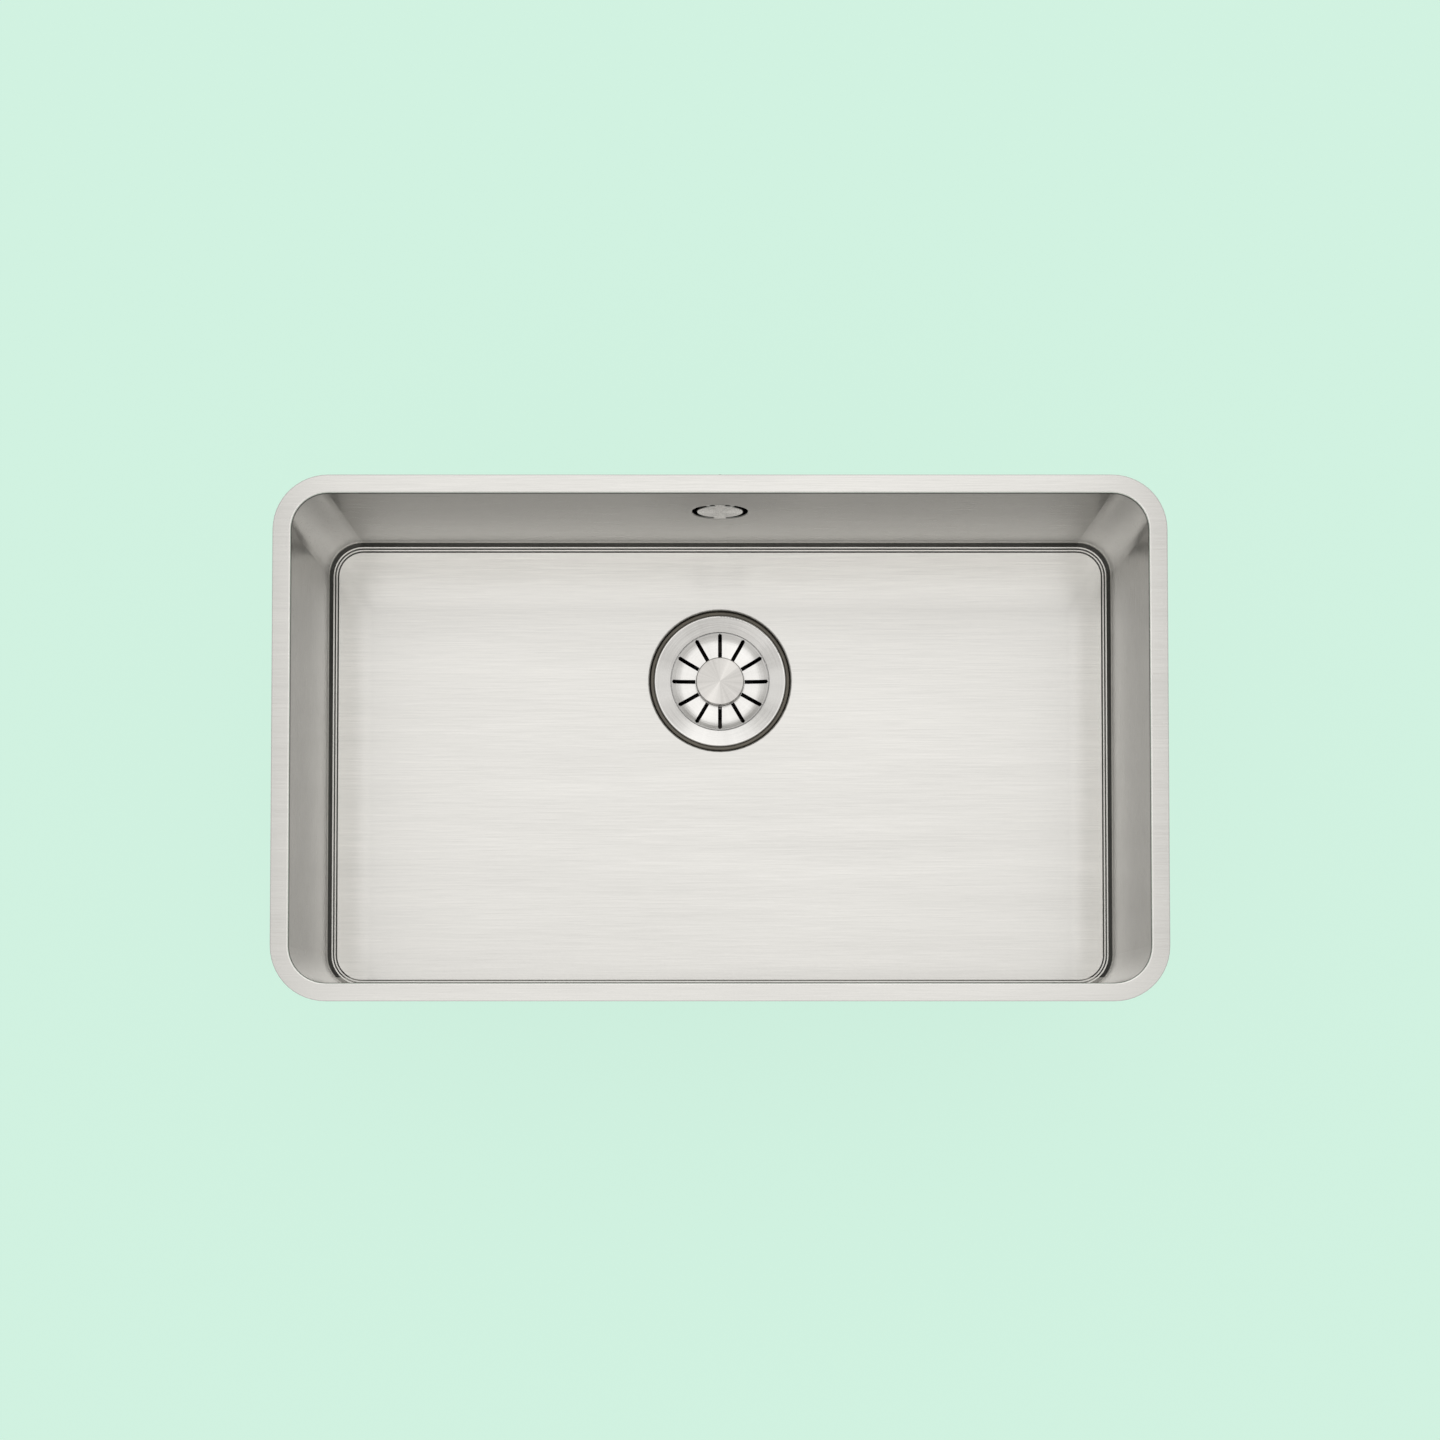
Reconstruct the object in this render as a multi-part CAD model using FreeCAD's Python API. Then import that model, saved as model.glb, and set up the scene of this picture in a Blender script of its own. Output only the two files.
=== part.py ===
import FreeCAD, Part
import math
import os

# Undermount kitchen sink with a basket-strainer waste and a recessed overflow, in millimetres.
# Origin: centre of the flange's top face. +X to the right, +Y to the rear wall, +Z up.

# ------------------------------------------------------------------ bowl
BOWL_LENGTH = 700.0         # inside, along X
BOWL_WIDTH = 400.0          # inside, along Y
BOWL_DEPTH = 180.0          # flange top to floor
FLANGE_WIDTH = 15.0
SHEET = 1.2                 # stainless sheet of the bowl
CORNER_RADIUS = 30.0        # upright corners, inside face
RIM_EDGE_RADIUS = 1.6       # flange rolling over into the wall
COVING_WIDTH = 3.6          # steep slope between the wall and the first ledge
COVING_HEIGHT = 4.6
COVING_RADIUS = 3.0         # wall rolling into the slope
STEP_COUNT = 2              # fine pressed steps round the floor panel
LEDGE_WIDTH = 1.1
RISER_WIDTH = 1.2
RISER_HEIGHT = 1.2
FLOOR_MARGIN = 1.0          # flat strip kept beside the last riser

# ------------------------------------------------------------------ waste, measured from its own axis
WASTE_FROM_REAR = 123.5     # waste axis to the rear wall's inside face
RECESS_RADIUS = 63.6        # pressed recess that sinks the waste below the floor
RECESS_TAPER = 1.0
RECESS_DEPTH = 6.0
RECESS_EDGE_RADIUS = 1.6
HOLE_CLEARANCE = 0.6        # hole in the recess round the cup
PATCH_MARGIN = 4.5          # flat sheet kept round a pressed recess

CUP_SHEET = 1.2             # stainless sheet of the waste flange and cup
WASTE_FLANGE_GAP = 4.5      # groove between the flange and the recess's wall
WASTE_FLANGE_WIDTH = 14.9   # flange's outer edge to the cup's shoulder, a 90 mm waste
WASTE_FLANGE_DROP = 1.0     # flange's outer edge below the floor
WASTE_FLANGE_FALL = 3.0     # fall of the flange towards the cup
WASTE_FLANGE_EDGE = 1.4     # rounded outer edge
WASTE_LIP_GAP = 1.6         # turned-down edge above the recess
CUP_MOUTH_RADIUS = 0.6
CUP_DEPTH = 32.0            # floor of the sink to floor of the cup
CUP_CORNER_RADIUS = 3.0
SHOULDER_WIDTH = 1.2        # ledge in the cup that carries the dish
GRID_SLOTS = 6              # kidney holes in the cup's floor
GRID_INNER = 13.5
GRID_OUTER = 24.0
GRID_SPAN = 42.0            # degrees that one kidney hole covers

SEAL_INSET = 2.0            # soft rings stand back from the edges they sit between
SEAL_GAP = 0.3              # flange seal to the flange's edge and to the recess's wall
SEAL_BEAD_DROP = 1.4        # seal's bead below the flange's outer edge
SEAL_BEAD_ROUNDING = 1.0
WASTE_GASKET = 2.5          # thickness under the recess
WASTE_RING_SETBACK = 1.1    # top ring of the waste body inside the flange's edge
WASTE_RING_HEIGHT = 4.0
BODY_WALL = 2.4
GUSSET_COUNT = 8            # ribs between the top ring and the body
GUSSET_THICKNESS = 2.0
GUSSET_HEIGHT = 9.0
GUSSET_SETBACK = 1.0        # gussets inside the ring's edge
GUSSET_START = 22.5         # direction of the first gusset, clear of the inlet
BODY_CUP_GAP = 2.2          # water way between cup and body
BODY_STRAIGHT = 44.0        # floor of the sink to the start of the funnel
FUNNEL_HEIGHT = 22.0
TAIL_RADIUS = 23.9          # 1 1/2 inch pipe thread, outside
TAIL_WALL = 3.4
TAIL_LENGTH = 24.0
TAIL_THREAD = 20.0          # threaded length at the tail's end
TAIL_RELIEF = 1.2           # narrower stretch above the thread
BOSS_RADIUS = 12.0
BOSS_HEIGHT = 19.0
BOSS_CAP = 1.0              # plastic above and below the insert
WEB_COUNT = 3
WEB_START = 30.0            # direction of the first web, degrees
WEB_THICKNESS = 3.0
WEB_HEIGHT = 15.0
WEB_TOP_GAP = 4.0
WEB_FUNNEL_GAP = 1.5        # web to the funnel beside it
FOOT_REACH = 1.2            # web's foot inside the body's wall
FOOT_HEIGHT = 4.0
FOOT_GAP = 0.2              # foot in its pocket, beside and below
INSERT_WALL = 2.4

SCREW_RADIUS = 6.0          # hollow M12 waste screw
SCREW_HEAD_RADIUS = 10.5
SCREW_HEAD_HEIGHT = 2.7
SCREW_LENGTH = 19.0
SCREW_SLOT_WIDTH = 2.0
SCREW_SLOT_DEPTH = 1.2
SCREW_CLEARANCE = 0.3       # screw in the holes that it passes through
THREAD_GAP = 0.05           # screw in its own thread

# ------------------------------------------------------------------ strainer and plunger
DISH_SHEET = 1.0
DISH_GAP = 0.3              # dish to the cup, round and below
DISH_LIP = 0.6
DISH_WALL_WIDTH = 6.4
DISH_WALL_DROP = 2.4
DISH_FOOT_RADIUS = 24.0     # wall curving out into the slope
DISH_SLOPE_DROP = 1.0       # fall from the foot of the wall to the knob's edge
DISH_HUB_DROP = 0.6         # fall from the knob's edge to the hub
DISH_HUB_RADIUS = 12.0
SLOT_COUNT = 12
SLOT_WIDTH = 2.6
SLOT_INNER = 22.4
SLOT_RIM = 0.9              # sheet left between a slot and the dish's edge

BUSH_BORE_GAP = 0.06        # stem running in its bush
BUSH_WALL = 2.3
BUSH_FLANGE_RADIUS = 9.5
BUSH_FLANGE_HEIGHT = 1.0
BUSH_FIT = 0.1              # bush in the dish's hole
BUSH_TAIL = 8.5             # bush below its nut
NUT_FLATS = 17.0
NUT_HEIGHT = 2.5

KNOB_TRAVEL = 7.0           # knob down (closed) to knob up (open)
STOP_GAP = 0.3              # left at each end of the knob's travel
KNOB_RADIUS = 21.5
KNOB_DROP = 2.0             # knob's top below the floor
KNOB_THICKNESS = 3.5
KNOB_EDGE_RADIUS = 1.0
KNOB_RIM_DEPTH = 1.2        # hollow under the knob
KNOB_RIM_WIDTH = 2.5
KNOB_NECK_RADIUS = 8.0
KNOB_SOCKET = 3.0           # stem inside the knob
STEM_RADIUS = 4.0
STEM_NECK_RADIUS = 2.4
STEM_FIT = 0.05
CATCH_LENGTH = 6.0
CATCH_SLITS = 4
CATCH_SLIT_WIDTH = 0.8
STEM_BUTTON = 1.5
STEM_BUTTON_RADIUS = 3.6
SOCKET_GAP = 0.3            # catch in the hollow screw
STEM_ENGAGED = 8.0          # stem inside the screw with the knob up
STOPPER_PLATE_RADIUS = 26.0
STOPPER_PLATE_SHEET = 1.5
STOPPER_PLATE_FLAT = 14.0
STOPPER_PLATE_FALL = 1.2
STOPPER_SEAL_RADIUS = 30.0
STOPPER_SEAL_INNER = 21.5
STOPPER_SEAL_TOP = 1.0      # rubber above the plate's rim
STOPPER_LIP_WIDTH = 2.2

# ------------------------------------------------------------------ overflow, depths behind the wall's face
OVERFLOW_BELOW_RIM = 64.0
OVERFLOW_RADIUS = 23.65     # pressed recess in the rear wall
OVERFLOW_DEPTH = 8.0
OVERFLOW_EDGE_RADIUS = 1.3
OVERFLOW_HOLE = 16.0
COVER_RADIUS = 19.35
COVER_THICKNESS = 1.8
COVER_EDGE_RADIUS = 0.5
COVER_GAP = 0.3             # bridges to the recess's wall
WIDE_BRIDGES = ((90.0, 22.0), (270.0, 28.0))      # direction and span, degrees
NARROW_BRIDGES = ((62.0, 9.0), (118.0, 9.0))
NARROW_SETBACK = 0.5        # narrow bridges stand a little behind the face
CLIP_GAP = 0.3
CLIP_WALL = 1.8
CLIP_LENGTH = 9.0
CLIP_SLITS = 6
CLIP_SLIT_WIDTH = 2.5
INSERT_FLANGE_RADIUS = 21.5
INSERT_FLANGE = 1.5
INSERT_SLEEVE_WALL = 1.7
INSERT_SLEEVE_GAP = 0.5     # sleeve in the hole
INSERT_SLEEVE_REACH = 5.5   # sleeve behind the wall's recess
SPOKE_COUNT = 3
SPOKE_WIDTH = 3.0
SPOKE_HEIGHT = 2.2
SPOKE_BOSS_RADIUS = 5.5
OVERFLOW_GASKET = 1.6
GASKET_RADIUS = 23.0
HOUSING_RADIUS = 26.0
HOUSING_DEPTH = 13.7        # flat moulding, hidden under the flange from above
HOUSING_WALL = 2.5
HOUSING_OPENING_GAP = 1.0   # sleeve in the housing's opening
HOUSING_BOSS_RADIUS = 5.5
HOUSING_SHOULDER = 12.0      # spigot's sloping root inside the pot
OVERFLOW_SCREW_RADIUS = 2.5
OVERFLOW_SCREW_HEAD = 4.8
OVERFLOW_SCREW_HEAD_HEIGHT = 3.0
OVERFLOW_SCREW_LENGTH = 13.5
OVERFLOW_INSERT_WALL = 1.6
OVERFLOW_INSERT_LENGTH = 7.0

# ------------------------------------------------------------------ overflow pipe and its unions
PIPE_RADIUS = 11.0
PIPE_WALL = 1.8
PIPE_BEND = 30.0
PIPE_FIT = 0.3
SPIGOT_RADIUS = 14.0
SPIGOT_LENGTH = 22.0        # beyond the moulding that carries it
SPIGOT_CHAMFER = 1.8
SPIGOT_CLEAR = 4.0          # from the top ring to the lower union nut
PIPE_INSERTION = 14.0
NUT_THREAD_GAP = 0.1
UNION_NUT_WALL = 3.0
UNION_NUT_LENGTH = 16.0
UNION_NUT_END = 2.5
UNION_NUT_BACK = 12.0       # nut over the spigot
GRIP_RIBS = 12
GRIP_RIB_WIDTH = 2.0
GRIP_RIB_HEIGHT = 0.8
NUT_PAD_CLEAR = 1.9         # upper nut to the rear pads

# ------------------------------------------------------------------ sound pads
PAD_THICKNESS = 3.0
PAD_CORNER = 12.0
PAD_EDGE = 32.0             # bare sheet round a group of floor pads
PAD_SPACING = 14.0
PAD_WASTE_CLEAR = 12.0
WALL_PAD_HEIGHT = 90.0
WALL_PAD_END = 70.0         # bare wall at each end of a wall pad
OVERFLOW_PAD_CLEAR = 20.0

# ------------------------------------------------------------------ values that follow
WALL_X = BOWL_LENGTH / 2
WALL_Y = BOWL_WIDTH / 2
TURN_X = WALL_X - CORNER_RADIUS      # axes of the upright corners
TURN_Y = WALL_Y - CORNER_RADIUS
COVING_FOOT = CORNER_RADIUS - COVING_WIDTH - STEP_COUNT * (LEDGE_WIDTH + RISER_WIDTH)
PANEL_EDGE = COVING_FOOT - FLOOR_MARGIN

WASTE_Y = WALL_Y - WASTE_FROM_REAR
WASTE_FLANGE_RADIUS = RECESS_RADIUS - WASTE_FLANGE_GAP
WASTE_RING_RADIUS = WASTE_FLANGE_RADIUS - WASTE_RING_SETBACK
SHOULDER_RADIUS = WASTE_FLANGE_RADIUS - WASTE_FLANGE_WIDTH
DISH_RADIUS = SHOULDER_RADIUS - DISH_GAP
CUP_RADIUS = SHOULDER_RADIUS - SHOULDER_WIDTH
WASTE_HOLE = SHOULDER_RADIUS + CUP_SHEET + HOLE_CLEARANCE
MOUTH_Z = -(WASTE_FLANGE_DROP + WASTE_FLANGE_FALL)
SHOULDER_Z = MOUTH_Z - DISH_SHEET - DISH_GAP
CUP_FLOOR_Z = -CUP_DEPTH
LIP_END_Z = -RECESS_DEPTH + WASTE_LIP_GAP
BODY_TOP_Z = -(RECESS_DEPTH + SHEET + WASTE_GASKET)
BOSS_TOP_Z = CUP_FLOOR_Z - CUP_SHEET
WEB_TOP_Z = BOSS_TOP_Z - WEB_TOP_GAP
BODY_INNER = SHOULDER_RADIUS + CUP_SHEET + BODY_CUP_GAP
TAIL_BORE = TAIL_RADIUS - TAIL_WALL
TAIL_TOP_Z = -(BODY_STRAIGHT + FUNNEL_HEIGHT)
TAIL_END_Z = TAIL_TOP_Z - TAIL_LENGTH
INSERT_BORE = SCREW_RADIUS + THREAD_GAP
INSERT_RADIUS = INSERT_BORE + INSERT_WALL
SCREW_HOLE = SCREW_RADIUS + SCREW_CLEARANCE
SCREW_BORE = STEM_RADIUS + SOCKET_GAP
HEAD_TOP_Z = CUP_FLOOR_Z + SCREW_HEAD_HEIGHT

HUB_TOP_Z = MOUTH_Z - DISH_WALL_DROP - DISH_SLOPE_DROP - DISH_HUB_DROP
BUSH_BORE = STEM_RADIUS + BUSH_BORE_GAP
BUSH_RADIUS = BUSH_BORE + BUSH_WALL
BUSH_TOP_Z = HUB_TOP_Z + BUSH_FLANGE_HEIGHT
NUT_TOP_Z = HUB_TOP_Z - DISH_SHEET
BUSH_END_Z = NUT_TOP_Z - NUT_HEIGHT - BUSH_TAIL
KNOB_TOP_Z = -KNOB_DROP
NECK_END_Z = BUSH_TOP_Z + STOP_GAP
STEM_TOP_Z = NECK_END_Z + KNOB_SOCKET
STEM_BORE = STEM_RADIUS + STEM_FIT
PLATE_TOP_Z = BUSH_END_Z - KNOB_TRAVEL - STOP_GAP
SEAL_END_Z = CUP_FLOOR_Z + STOP_GAP
STEM_END_Z = HEAD_TOP_Z - STEM_ENGAGED - KNOB_TRAVEL
CATCH_END_Z = STEM_END_Z + STEM_BUTTON
CATCH_TOP_Z = CATCH_END_Z + CATCH_LENGTH

RECESS_BACK = OVERFLOW_DEPTH + SHEET
SLEEVE_END = OVERFLOW_DEPTH + INSERT_SLEEVE_REACH
SLEEVE_RADIUS = OVERFLOW_HOLE - INSERT_SLEEVE_GAP
CLIP_RADIUS = SLEEVE_RADIUS - INSERT_SLEEVE_WALL - CLIP_GAP
HOUSING_FRONT = RECESS_BACK + OVERFLOW_GASKET
HOUSING_BACK = HOUSING_FRONT + HOUSING_DEPTH
UNION_RADIUS = SPIGOT_RADIUS + NUT_THREAD_GAP + UNION_NUT_WALL
PIPE_DEPTH = SHEET + PAD_THICKNESS + NUT_PAD_CLEAR + UNION_RADIUS + GRIP_RIB_HEIGHT
OVERFLOW_SCREW_END = OVERFLOW_DEPTH + OVERFLOW_SCREW_LENGTH
OVERFLOW_INSERT_FRONT = OVERFLOW_SCREW_END - OVERFLOW_INSERT_LENGTH
OVERFLOW_INSERT_BORE = OVERFLOW_SCREW_RADIUS + THREAD_GAP
OVERFLOW_INSERT_RADIUS = OVERFLOW_INSERT_BORE + OVERFLOW_INSERT_WALL

SPIGOT_BORE = PIPE_RADIUS + PIPE_FIT
UPPER_MOUTH_Z = -(OVERFLOW_BELOW_RIM + HOUSING_RADIUS + SPIGOT_LENGTH)
INLET_Z = BODY_TOP_Z - WASTE_RING_HEIGHT - SPIGOT_CLEAR - SPIGOT_RADIUS
INLET_MOUTH = WASTE_RING_RADIUS + SPIGOT_LENGTH - SPIGOT_CLEAR
PIPE_Y = WALL_Y + PIPE_DEPTH

CENTRE = FreeCAD.Vector(0, 0, 0)
ACROSS = FreeCAD.Vector(1, 0, 0)
UP = FreeCAD.Vector(0, 0, 1)


# ------------------------------------------------------------------ flat outlines
def upright(u, v):
    """Section plane through the Z axis."""
    return FreeCAD.Vector(u, 0, v)


def level(u, v):
    """Plane seen from above."""
    return FreeCAD.Vector(u, v, 0)


def sideways(u, v):
    """Plane seen along X."""
    return FreeCAD.Vector(0, u, v)


def heading(start, end):
    """Unit direction between two flat points."""
    run = math.hypot(end[0] - start[0], end[1] - start[1])
    return (end[0] - start[0]) / run, (end[1] - start[1]) / run


def rounding(corner):
    """Radius of a corner written (u, v) or (u, v, radius)."""
    return corner[2] if len(corner) > 2 else 0.0


def outline(corners, to_space=upright):
    """Face with straight sides, its corners rounded where they carry a radius."""
    stretches = []
    for index, corner in enumerate(corners):
        arrive = heading(corners[index - 1], corner)
        leave = heading(corner, corners[(index + 1) % len(corners)])
        half_turn = math.acos(max(-1.0, min(1.0, arrive[0] * leave[0] + arrive[1] * leave[1]))) / 2
        radius = rounding(corner)
        setback = radius * math.tan(half_turn)
        start = to_space(corner[0] - arrive[0] * setback, corner[1] - arrive[1] * setback)
        end = to_space(corner[0] + leave[0] * setback, corner[1] + leave[1] * setback)
        if setback > 1e-6:
            inward = heading(arrive, leave)
            bulge = radius / math.cos(half_turn) - radius
            middle = to_space(corner[0] + inward[0] * bulge, corner[1] + inward[1] * bulge)
            stretches.append((start, end, Part.Arc(start, middle, end).toShape()))
        else:
            stretches.append((start, end, None))
    edges = []
    for index, (start, end, arc) in enumerate(stretches):
        before = stretches[index - 1][1]
        if (start - before).Length > 1e-6:
            edges.append(Part.LineSegment(before, start).toShape())
        if arc:
            edges.append(arc)
    return Part.Face(Part.Wire(edges))


def sheet(path, thickness):
    """Section of a bent sheet: the drawn side, and the other side on the left of its direction."""
    offset = []
    for index, corner in enumerate(path):
        before = heading(path[index - 1], corner) if index else heading(corner, path[1])
        after = heading(corner, path[index + 1]) if index < len(path) - 1 else before
        left = (-before[1] - after[1], before[0] + after[0])
        spread = 1 + before[0] * after[0] + before[1] * after[1]
        bend = before[0] * after[1] - before[1] * after[0]
        radius = rounding(corner)
        if radius:
            radius = max(radius + (-thickness if bend > 0 else thickness), 0.0)
        offset.append((corner[0] + thickness * left[0] / spread,
                       corner[1] + thickness * left[1] / spread, radius))
    return outline(list(path) + offset[::-1])


def solid(shape):
    """The same solid with its faces pointing outwards."""
    if shape.Volume < 0:
        shape.reverse()
    return shape


def turned(face):
    """Section turned once round the Z axis."""
    return solid(face.revolve(CENTRE, UP, 360))


def ring(inner, outer, bottom, top):
    """Plain ring between two heights."""
    return turned(outline([(inner, bottom), (outer, bottom), (outer, top), (inner, top)]))


def rod(radius, bottom, top):
    """Round bar on the Z axis."""
    return Part.makeCylinder(radius, top - bottom, FreeCAD.Vector(0, 0, bottom))


def beam(width, inner, outer, bottom, top):
    """Bar that leaves the Z axis along +X, from one radius to another."""
    return Part.makeBox(outer - inner, width, top - bottom, FreeCAD.Vector(inner, -width / 2, bottom))


def round_the_axis(shape, count, first=0.0):
    """Copies of a shape spaced evenly about the Z axis."""
    copies = []
    for index in range(count):
        copy = shape.copy()
        copy.rotate(CENTRE, UP, first + 360.0 * index / count)
        copies.append(copy)
    return copies


def at_waste(shape):
    """From the waste's own frame, with the floor at zero, to the sink's."""
    shape.translate(FreeCAD.Vector(0, WASTE_Y, -BOWL_DEPTH))
    return shape


def at_overflow(shape):
    """From a frame whose +Z points out through the rear wall to the sink's."""
    shape.rotate(CENTRE, ACROSS, -90)
    shape.translate(FreeCAD.Vector(0, WALL_Y, -OVERFLOW_BELOW_RIM))
    return shape


# ------------------------------------------------------------------ bowl
def rim_section():
    """Flange, wall, coving and steps, measured outwards from an upright corner's axis."""
    top_ledge = -BOWL_DEPTH + STEP_COUNT * RISER_HEIGHT
    path = [(CORNER_RADIUS + FLANGE_WIDTH, 0.0),
            (CORNER_RADIUS, 0.0, RIM_EDGE_RADIUS),
            (CORNER_RADIUS, top_ledge + COVING_HEIGHT, COVING_RADIUS),
            (CORNER_RADIUS - COVING_WIDTH, top_ledge)]
    reach = CORNER_RADIUS - COVING_WIDTH
    for step in range(STEP_COUNT):
        reach -= LEDGE_WIDTH
        path.append((reach, top_ledge - step * RISER_HEIGHT))
        reach -= RISER_WIDTH
        path.append((reach, top_ledge - (step + 1) * RISER_HEIGHT))
    path.append((PANEL_EDGE, -BOWL_DEPTH))
    return sheet(path, SHEET)


def rim_and_walls():
    """The rim section run along the four sides and turned round the four corners."""
    corners = [(TURN_X, -TURN_Y), (TURN_X, TURN_Y), (-TURN_X, TURN_Y), (-TURN_X, -TURN_Y)]
    pieces = []
    for side in range(4):
        start = level(*corners[side])
        end = level(*corners[(side + 1) % 4])
        section = rim_section()
        section.rotate(CENTRE, UP, 90.0 * side)
        section.translate(start)
        pieces.append(solid(section.extrude(end - start)))
        section.translate(end - start)
        pieces.append(solid(section.revolve(end, UP, 90)))
    return pieces


def floor_panel():
    """Flat floor inside the steps, open round the waste's recess."""
    half_x = TURN_X + PANEL_EDGE
    half_y = TURN_Y + PANEL_EDGE
    corners = [(-half_x, -half_y, PANEL_EDGE), (half_x, -half_y, PANEL_EDGE),
               (half_x, half_y, PANEL_EDGE), (-half_x, half_y, PANEL_EDGE)]
    panel = outline(corners, level).extrude(UP * SHEET)
    panel.translate(FreeCAD.Vector(0, 0, -BOWL_DEPTH - SHEET))
    return solid(panel).cut(at_waste(rod(RECESS_RADIUS + PATCH_MARGIN, -2 * SHEET, SHEET)))


def waste_recess():
    """Pressed recess round the waste hole."""
    path = [(RECESS_RADIUS + PATCH_MARGIN, 0.0),
            (RECESS_RADIUS, 0.0, RECESS_EDGE_RADIUS),
            (RECESS_RADIUS - RECESS_TAPER, -RECESS_DEPTH, RECESS_EDGE_RADIUS),
            (WASTE_HOLE, -RECESS_DEPTH)]
    return at_waste(turned(sheet(path, SHEET)))


def overflow_recess():
    """Pressed recess in the rear wall with the overflow hole in its base."""
    path = [(OVERFLOW_HOLE, OVERFLOW_DEPTH),
            (OVERFLOW_RADIUS, OVERFLOW_DEPTH, OVERFLOW_EDGE_RADIUS),
            (OVERFLOW_RADIUS, 0.0, OVERFLOW_EDGE_RADIUS),
            (OVERFLOW_RADIUS + PATCH_MARGIN, 0.0)]
    return at_overflow(turned(sheet(path, SHEET)))


def bowl():
    pieces = rim_and_walls()
    shell = pieces[0].multiFuse(pieces[1:] + [floor_panel()])
    shell = shell.cut(at_overflow(rod(OVERFLOW_RADIUS + PATCH_MARGIN, -SHEET, 2 * SHEET)))
    return shell.multiFuse([waste_recess(), overflow_recess()]).removeSplitter()


# ------------------------------------------------------------------ sound pads
def pad(low, high, to_space, outward):
    """Flat pad with rounded corners between two flat corner points."""
    corners = [(low[0], low[1], PAD_CORNER), (high[0], low[1], PAD_CORNER),
               (high[0], high[1], PAD_CORNER), (low[0], high[1], PAD_CORNER)]
    return solid(outline(corners, to_space).extrude(outward * PAD_THICKNESS))


def floor_pad(low, high):
    shape = pad(low, high, level, -UP)
    shape.translate(FreeCAD.Vector(0, 0, -BOWL_DEPTH - SHEET))
    return shape


def floor_pad_front():
    reach = WALL_X - PAD_EDGE
    return floor_pad((-reach, -WALL_Y + PAD_EDGE), (reach, WASTE_Y - RECESS_RADIUS - PAD_WASTE_CLEAR))


def floor_pad_beside(side):
    """Pad to the left (-1) or right (+1) of the waste."""
    near = side * (RECESS_RADIUS + PAD_WASTE_CLEAR)
    far = side * (WALL_X - PAD_EDGE)
    low_y = WASTE_Y - RECESS_RADIUS - PAD_WASTE_CLEAR + PAD_SPACING
    return floor_pad((min(near, far), low_y), (max(near, far), WALL_Y - PAD_EDGE))


def pad_heights():
    """Lowest and highest edge of the pads on the walls."""
    middle = -(BOWL_DEPTH + SHEET) / 2
    return middle - WALL_PAD_HEIGHT / 2, middle + WALL_PAD_HEIGHT / 2


def front_wall_pad():
    bottom, top = pad_heights()
    reach = WALL_X - WALL_PAD_END
    shape = pad((-reach, bottom), (reach, top), upright, FreeCAD.Vector(0, -1, 0))
    shape.translate(FreeCAD.Vector(0, -WALL_Y - SHEET, 0))
    return shape


def rear_wall_pads():
    bottom, top = pad_heights()
    near = OVERFLOW_RADIUS + SHEET + OVERFLOW_PAD_CLEAR
    far = WALL_X - WALL_PAD_END
    outward = FreeCAD.Vector(0, 1, 0)
    pair = [pad((-far, bottom), (-near, top), upright, outward),
            pad((near, bottom), (far, top), upright, outward)]
    for shape in pair:
        shape.translate(outward * (WALL_Y + SHEET))
    return Part.makeCompound(pair)


def side_wall_pad(side):
    """Pad on the left (-1) or right (+1) wall."""
    bottom, top = pad_heights()
    reach = WALL_Y - WALL_PAD_END
    outward = ACROSS * side
    shape = pad((-reach, bottom), (reach, top), sideways, outward)
    shape.translate(outward * (WALL_X + SHEET))
    return shape


# ------------------------------------------------------------------ waste, built with the floor at zero
def flange_fall(radius):
    """Height of the waste flange's top face at a radius."""
    share = (WASTE_FLANGE_RADIUS - radius) / (WASTE_FLANGE_RADIUS - SHOULDER_RADIUS)
    return -WASTE_FLANGE_DROP - WASTE_FLANGE_FALL * share


def kidney_hole():
    """One curved slot of the grid in the cup's floor."""
    width = GRID_OUTER - GRID_INNER
    middle = (GRID_OUTER + GRID_INNER) / 2
    lane = ring(GRID_INNER, GRID_OUTER, CUP_FLOOR_Z - 2 * CUP_SHEET, CUP_FLOOR_Z + CUP_SHEET)
    half = math.radians(GRID_SPAN / 2) - width / 2 / middle
    wedge = outline([(0, 0), (2 * middle, -2 * middle * math.tan(half)),
                     (2 * middle, 2 * middle * math.tan(half))], level).extrude(UP * 4 * CUP_SHEET)
    wedge.translate(FreeCAD.Vector(0, 0, CUP_FLOOR_Z - 2 * CUP_SHEET))
    ends = []
    for sign in (-1, 1):
        end = rod(width / 2, CUP_FLOOR_Z - 2 * CUP_SHEET, CUP_FLOOR_Z + CUP_SHEET)
        end.translate(FreeCAD.Vector(middle * math.cos(half), sign * middle * math.sin(half), 0))
        ends.append(end)
    return lane.common(solid(wedge)).multiFuse(ends)


def waste_flange():
    """Spun flange, shoulder for the dish and cup with its grid."""
    path = [(WASTE_FLANGE_RADIUS, LIP_END_Z),
            (WASTE_FLANGE_RADIUS, -WASTE_FLANGE_DROP, WASTE_FLANGE_EDGE),
            (SHOULDER_RADIUS, MOUTH_Z, CUP_MOUTH_RADIUS),
            (SHOULDER_RADIUS, SHOULDER_Z),
            (CUP_RADIUS, SHOULDER_Z),
            (CUP_RADIUS, CUP_FLOOR_Z, CUP_CORNER_RADIUS),
            (SCREW_HOLE, CUP_FLOOR_Z)]
    cup = turned(sheet(path, CUP_SHEET))
    return at_waste(cup.cut(round_the_axis(kidney_hole(), GRID_SLOTS)))


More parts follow.
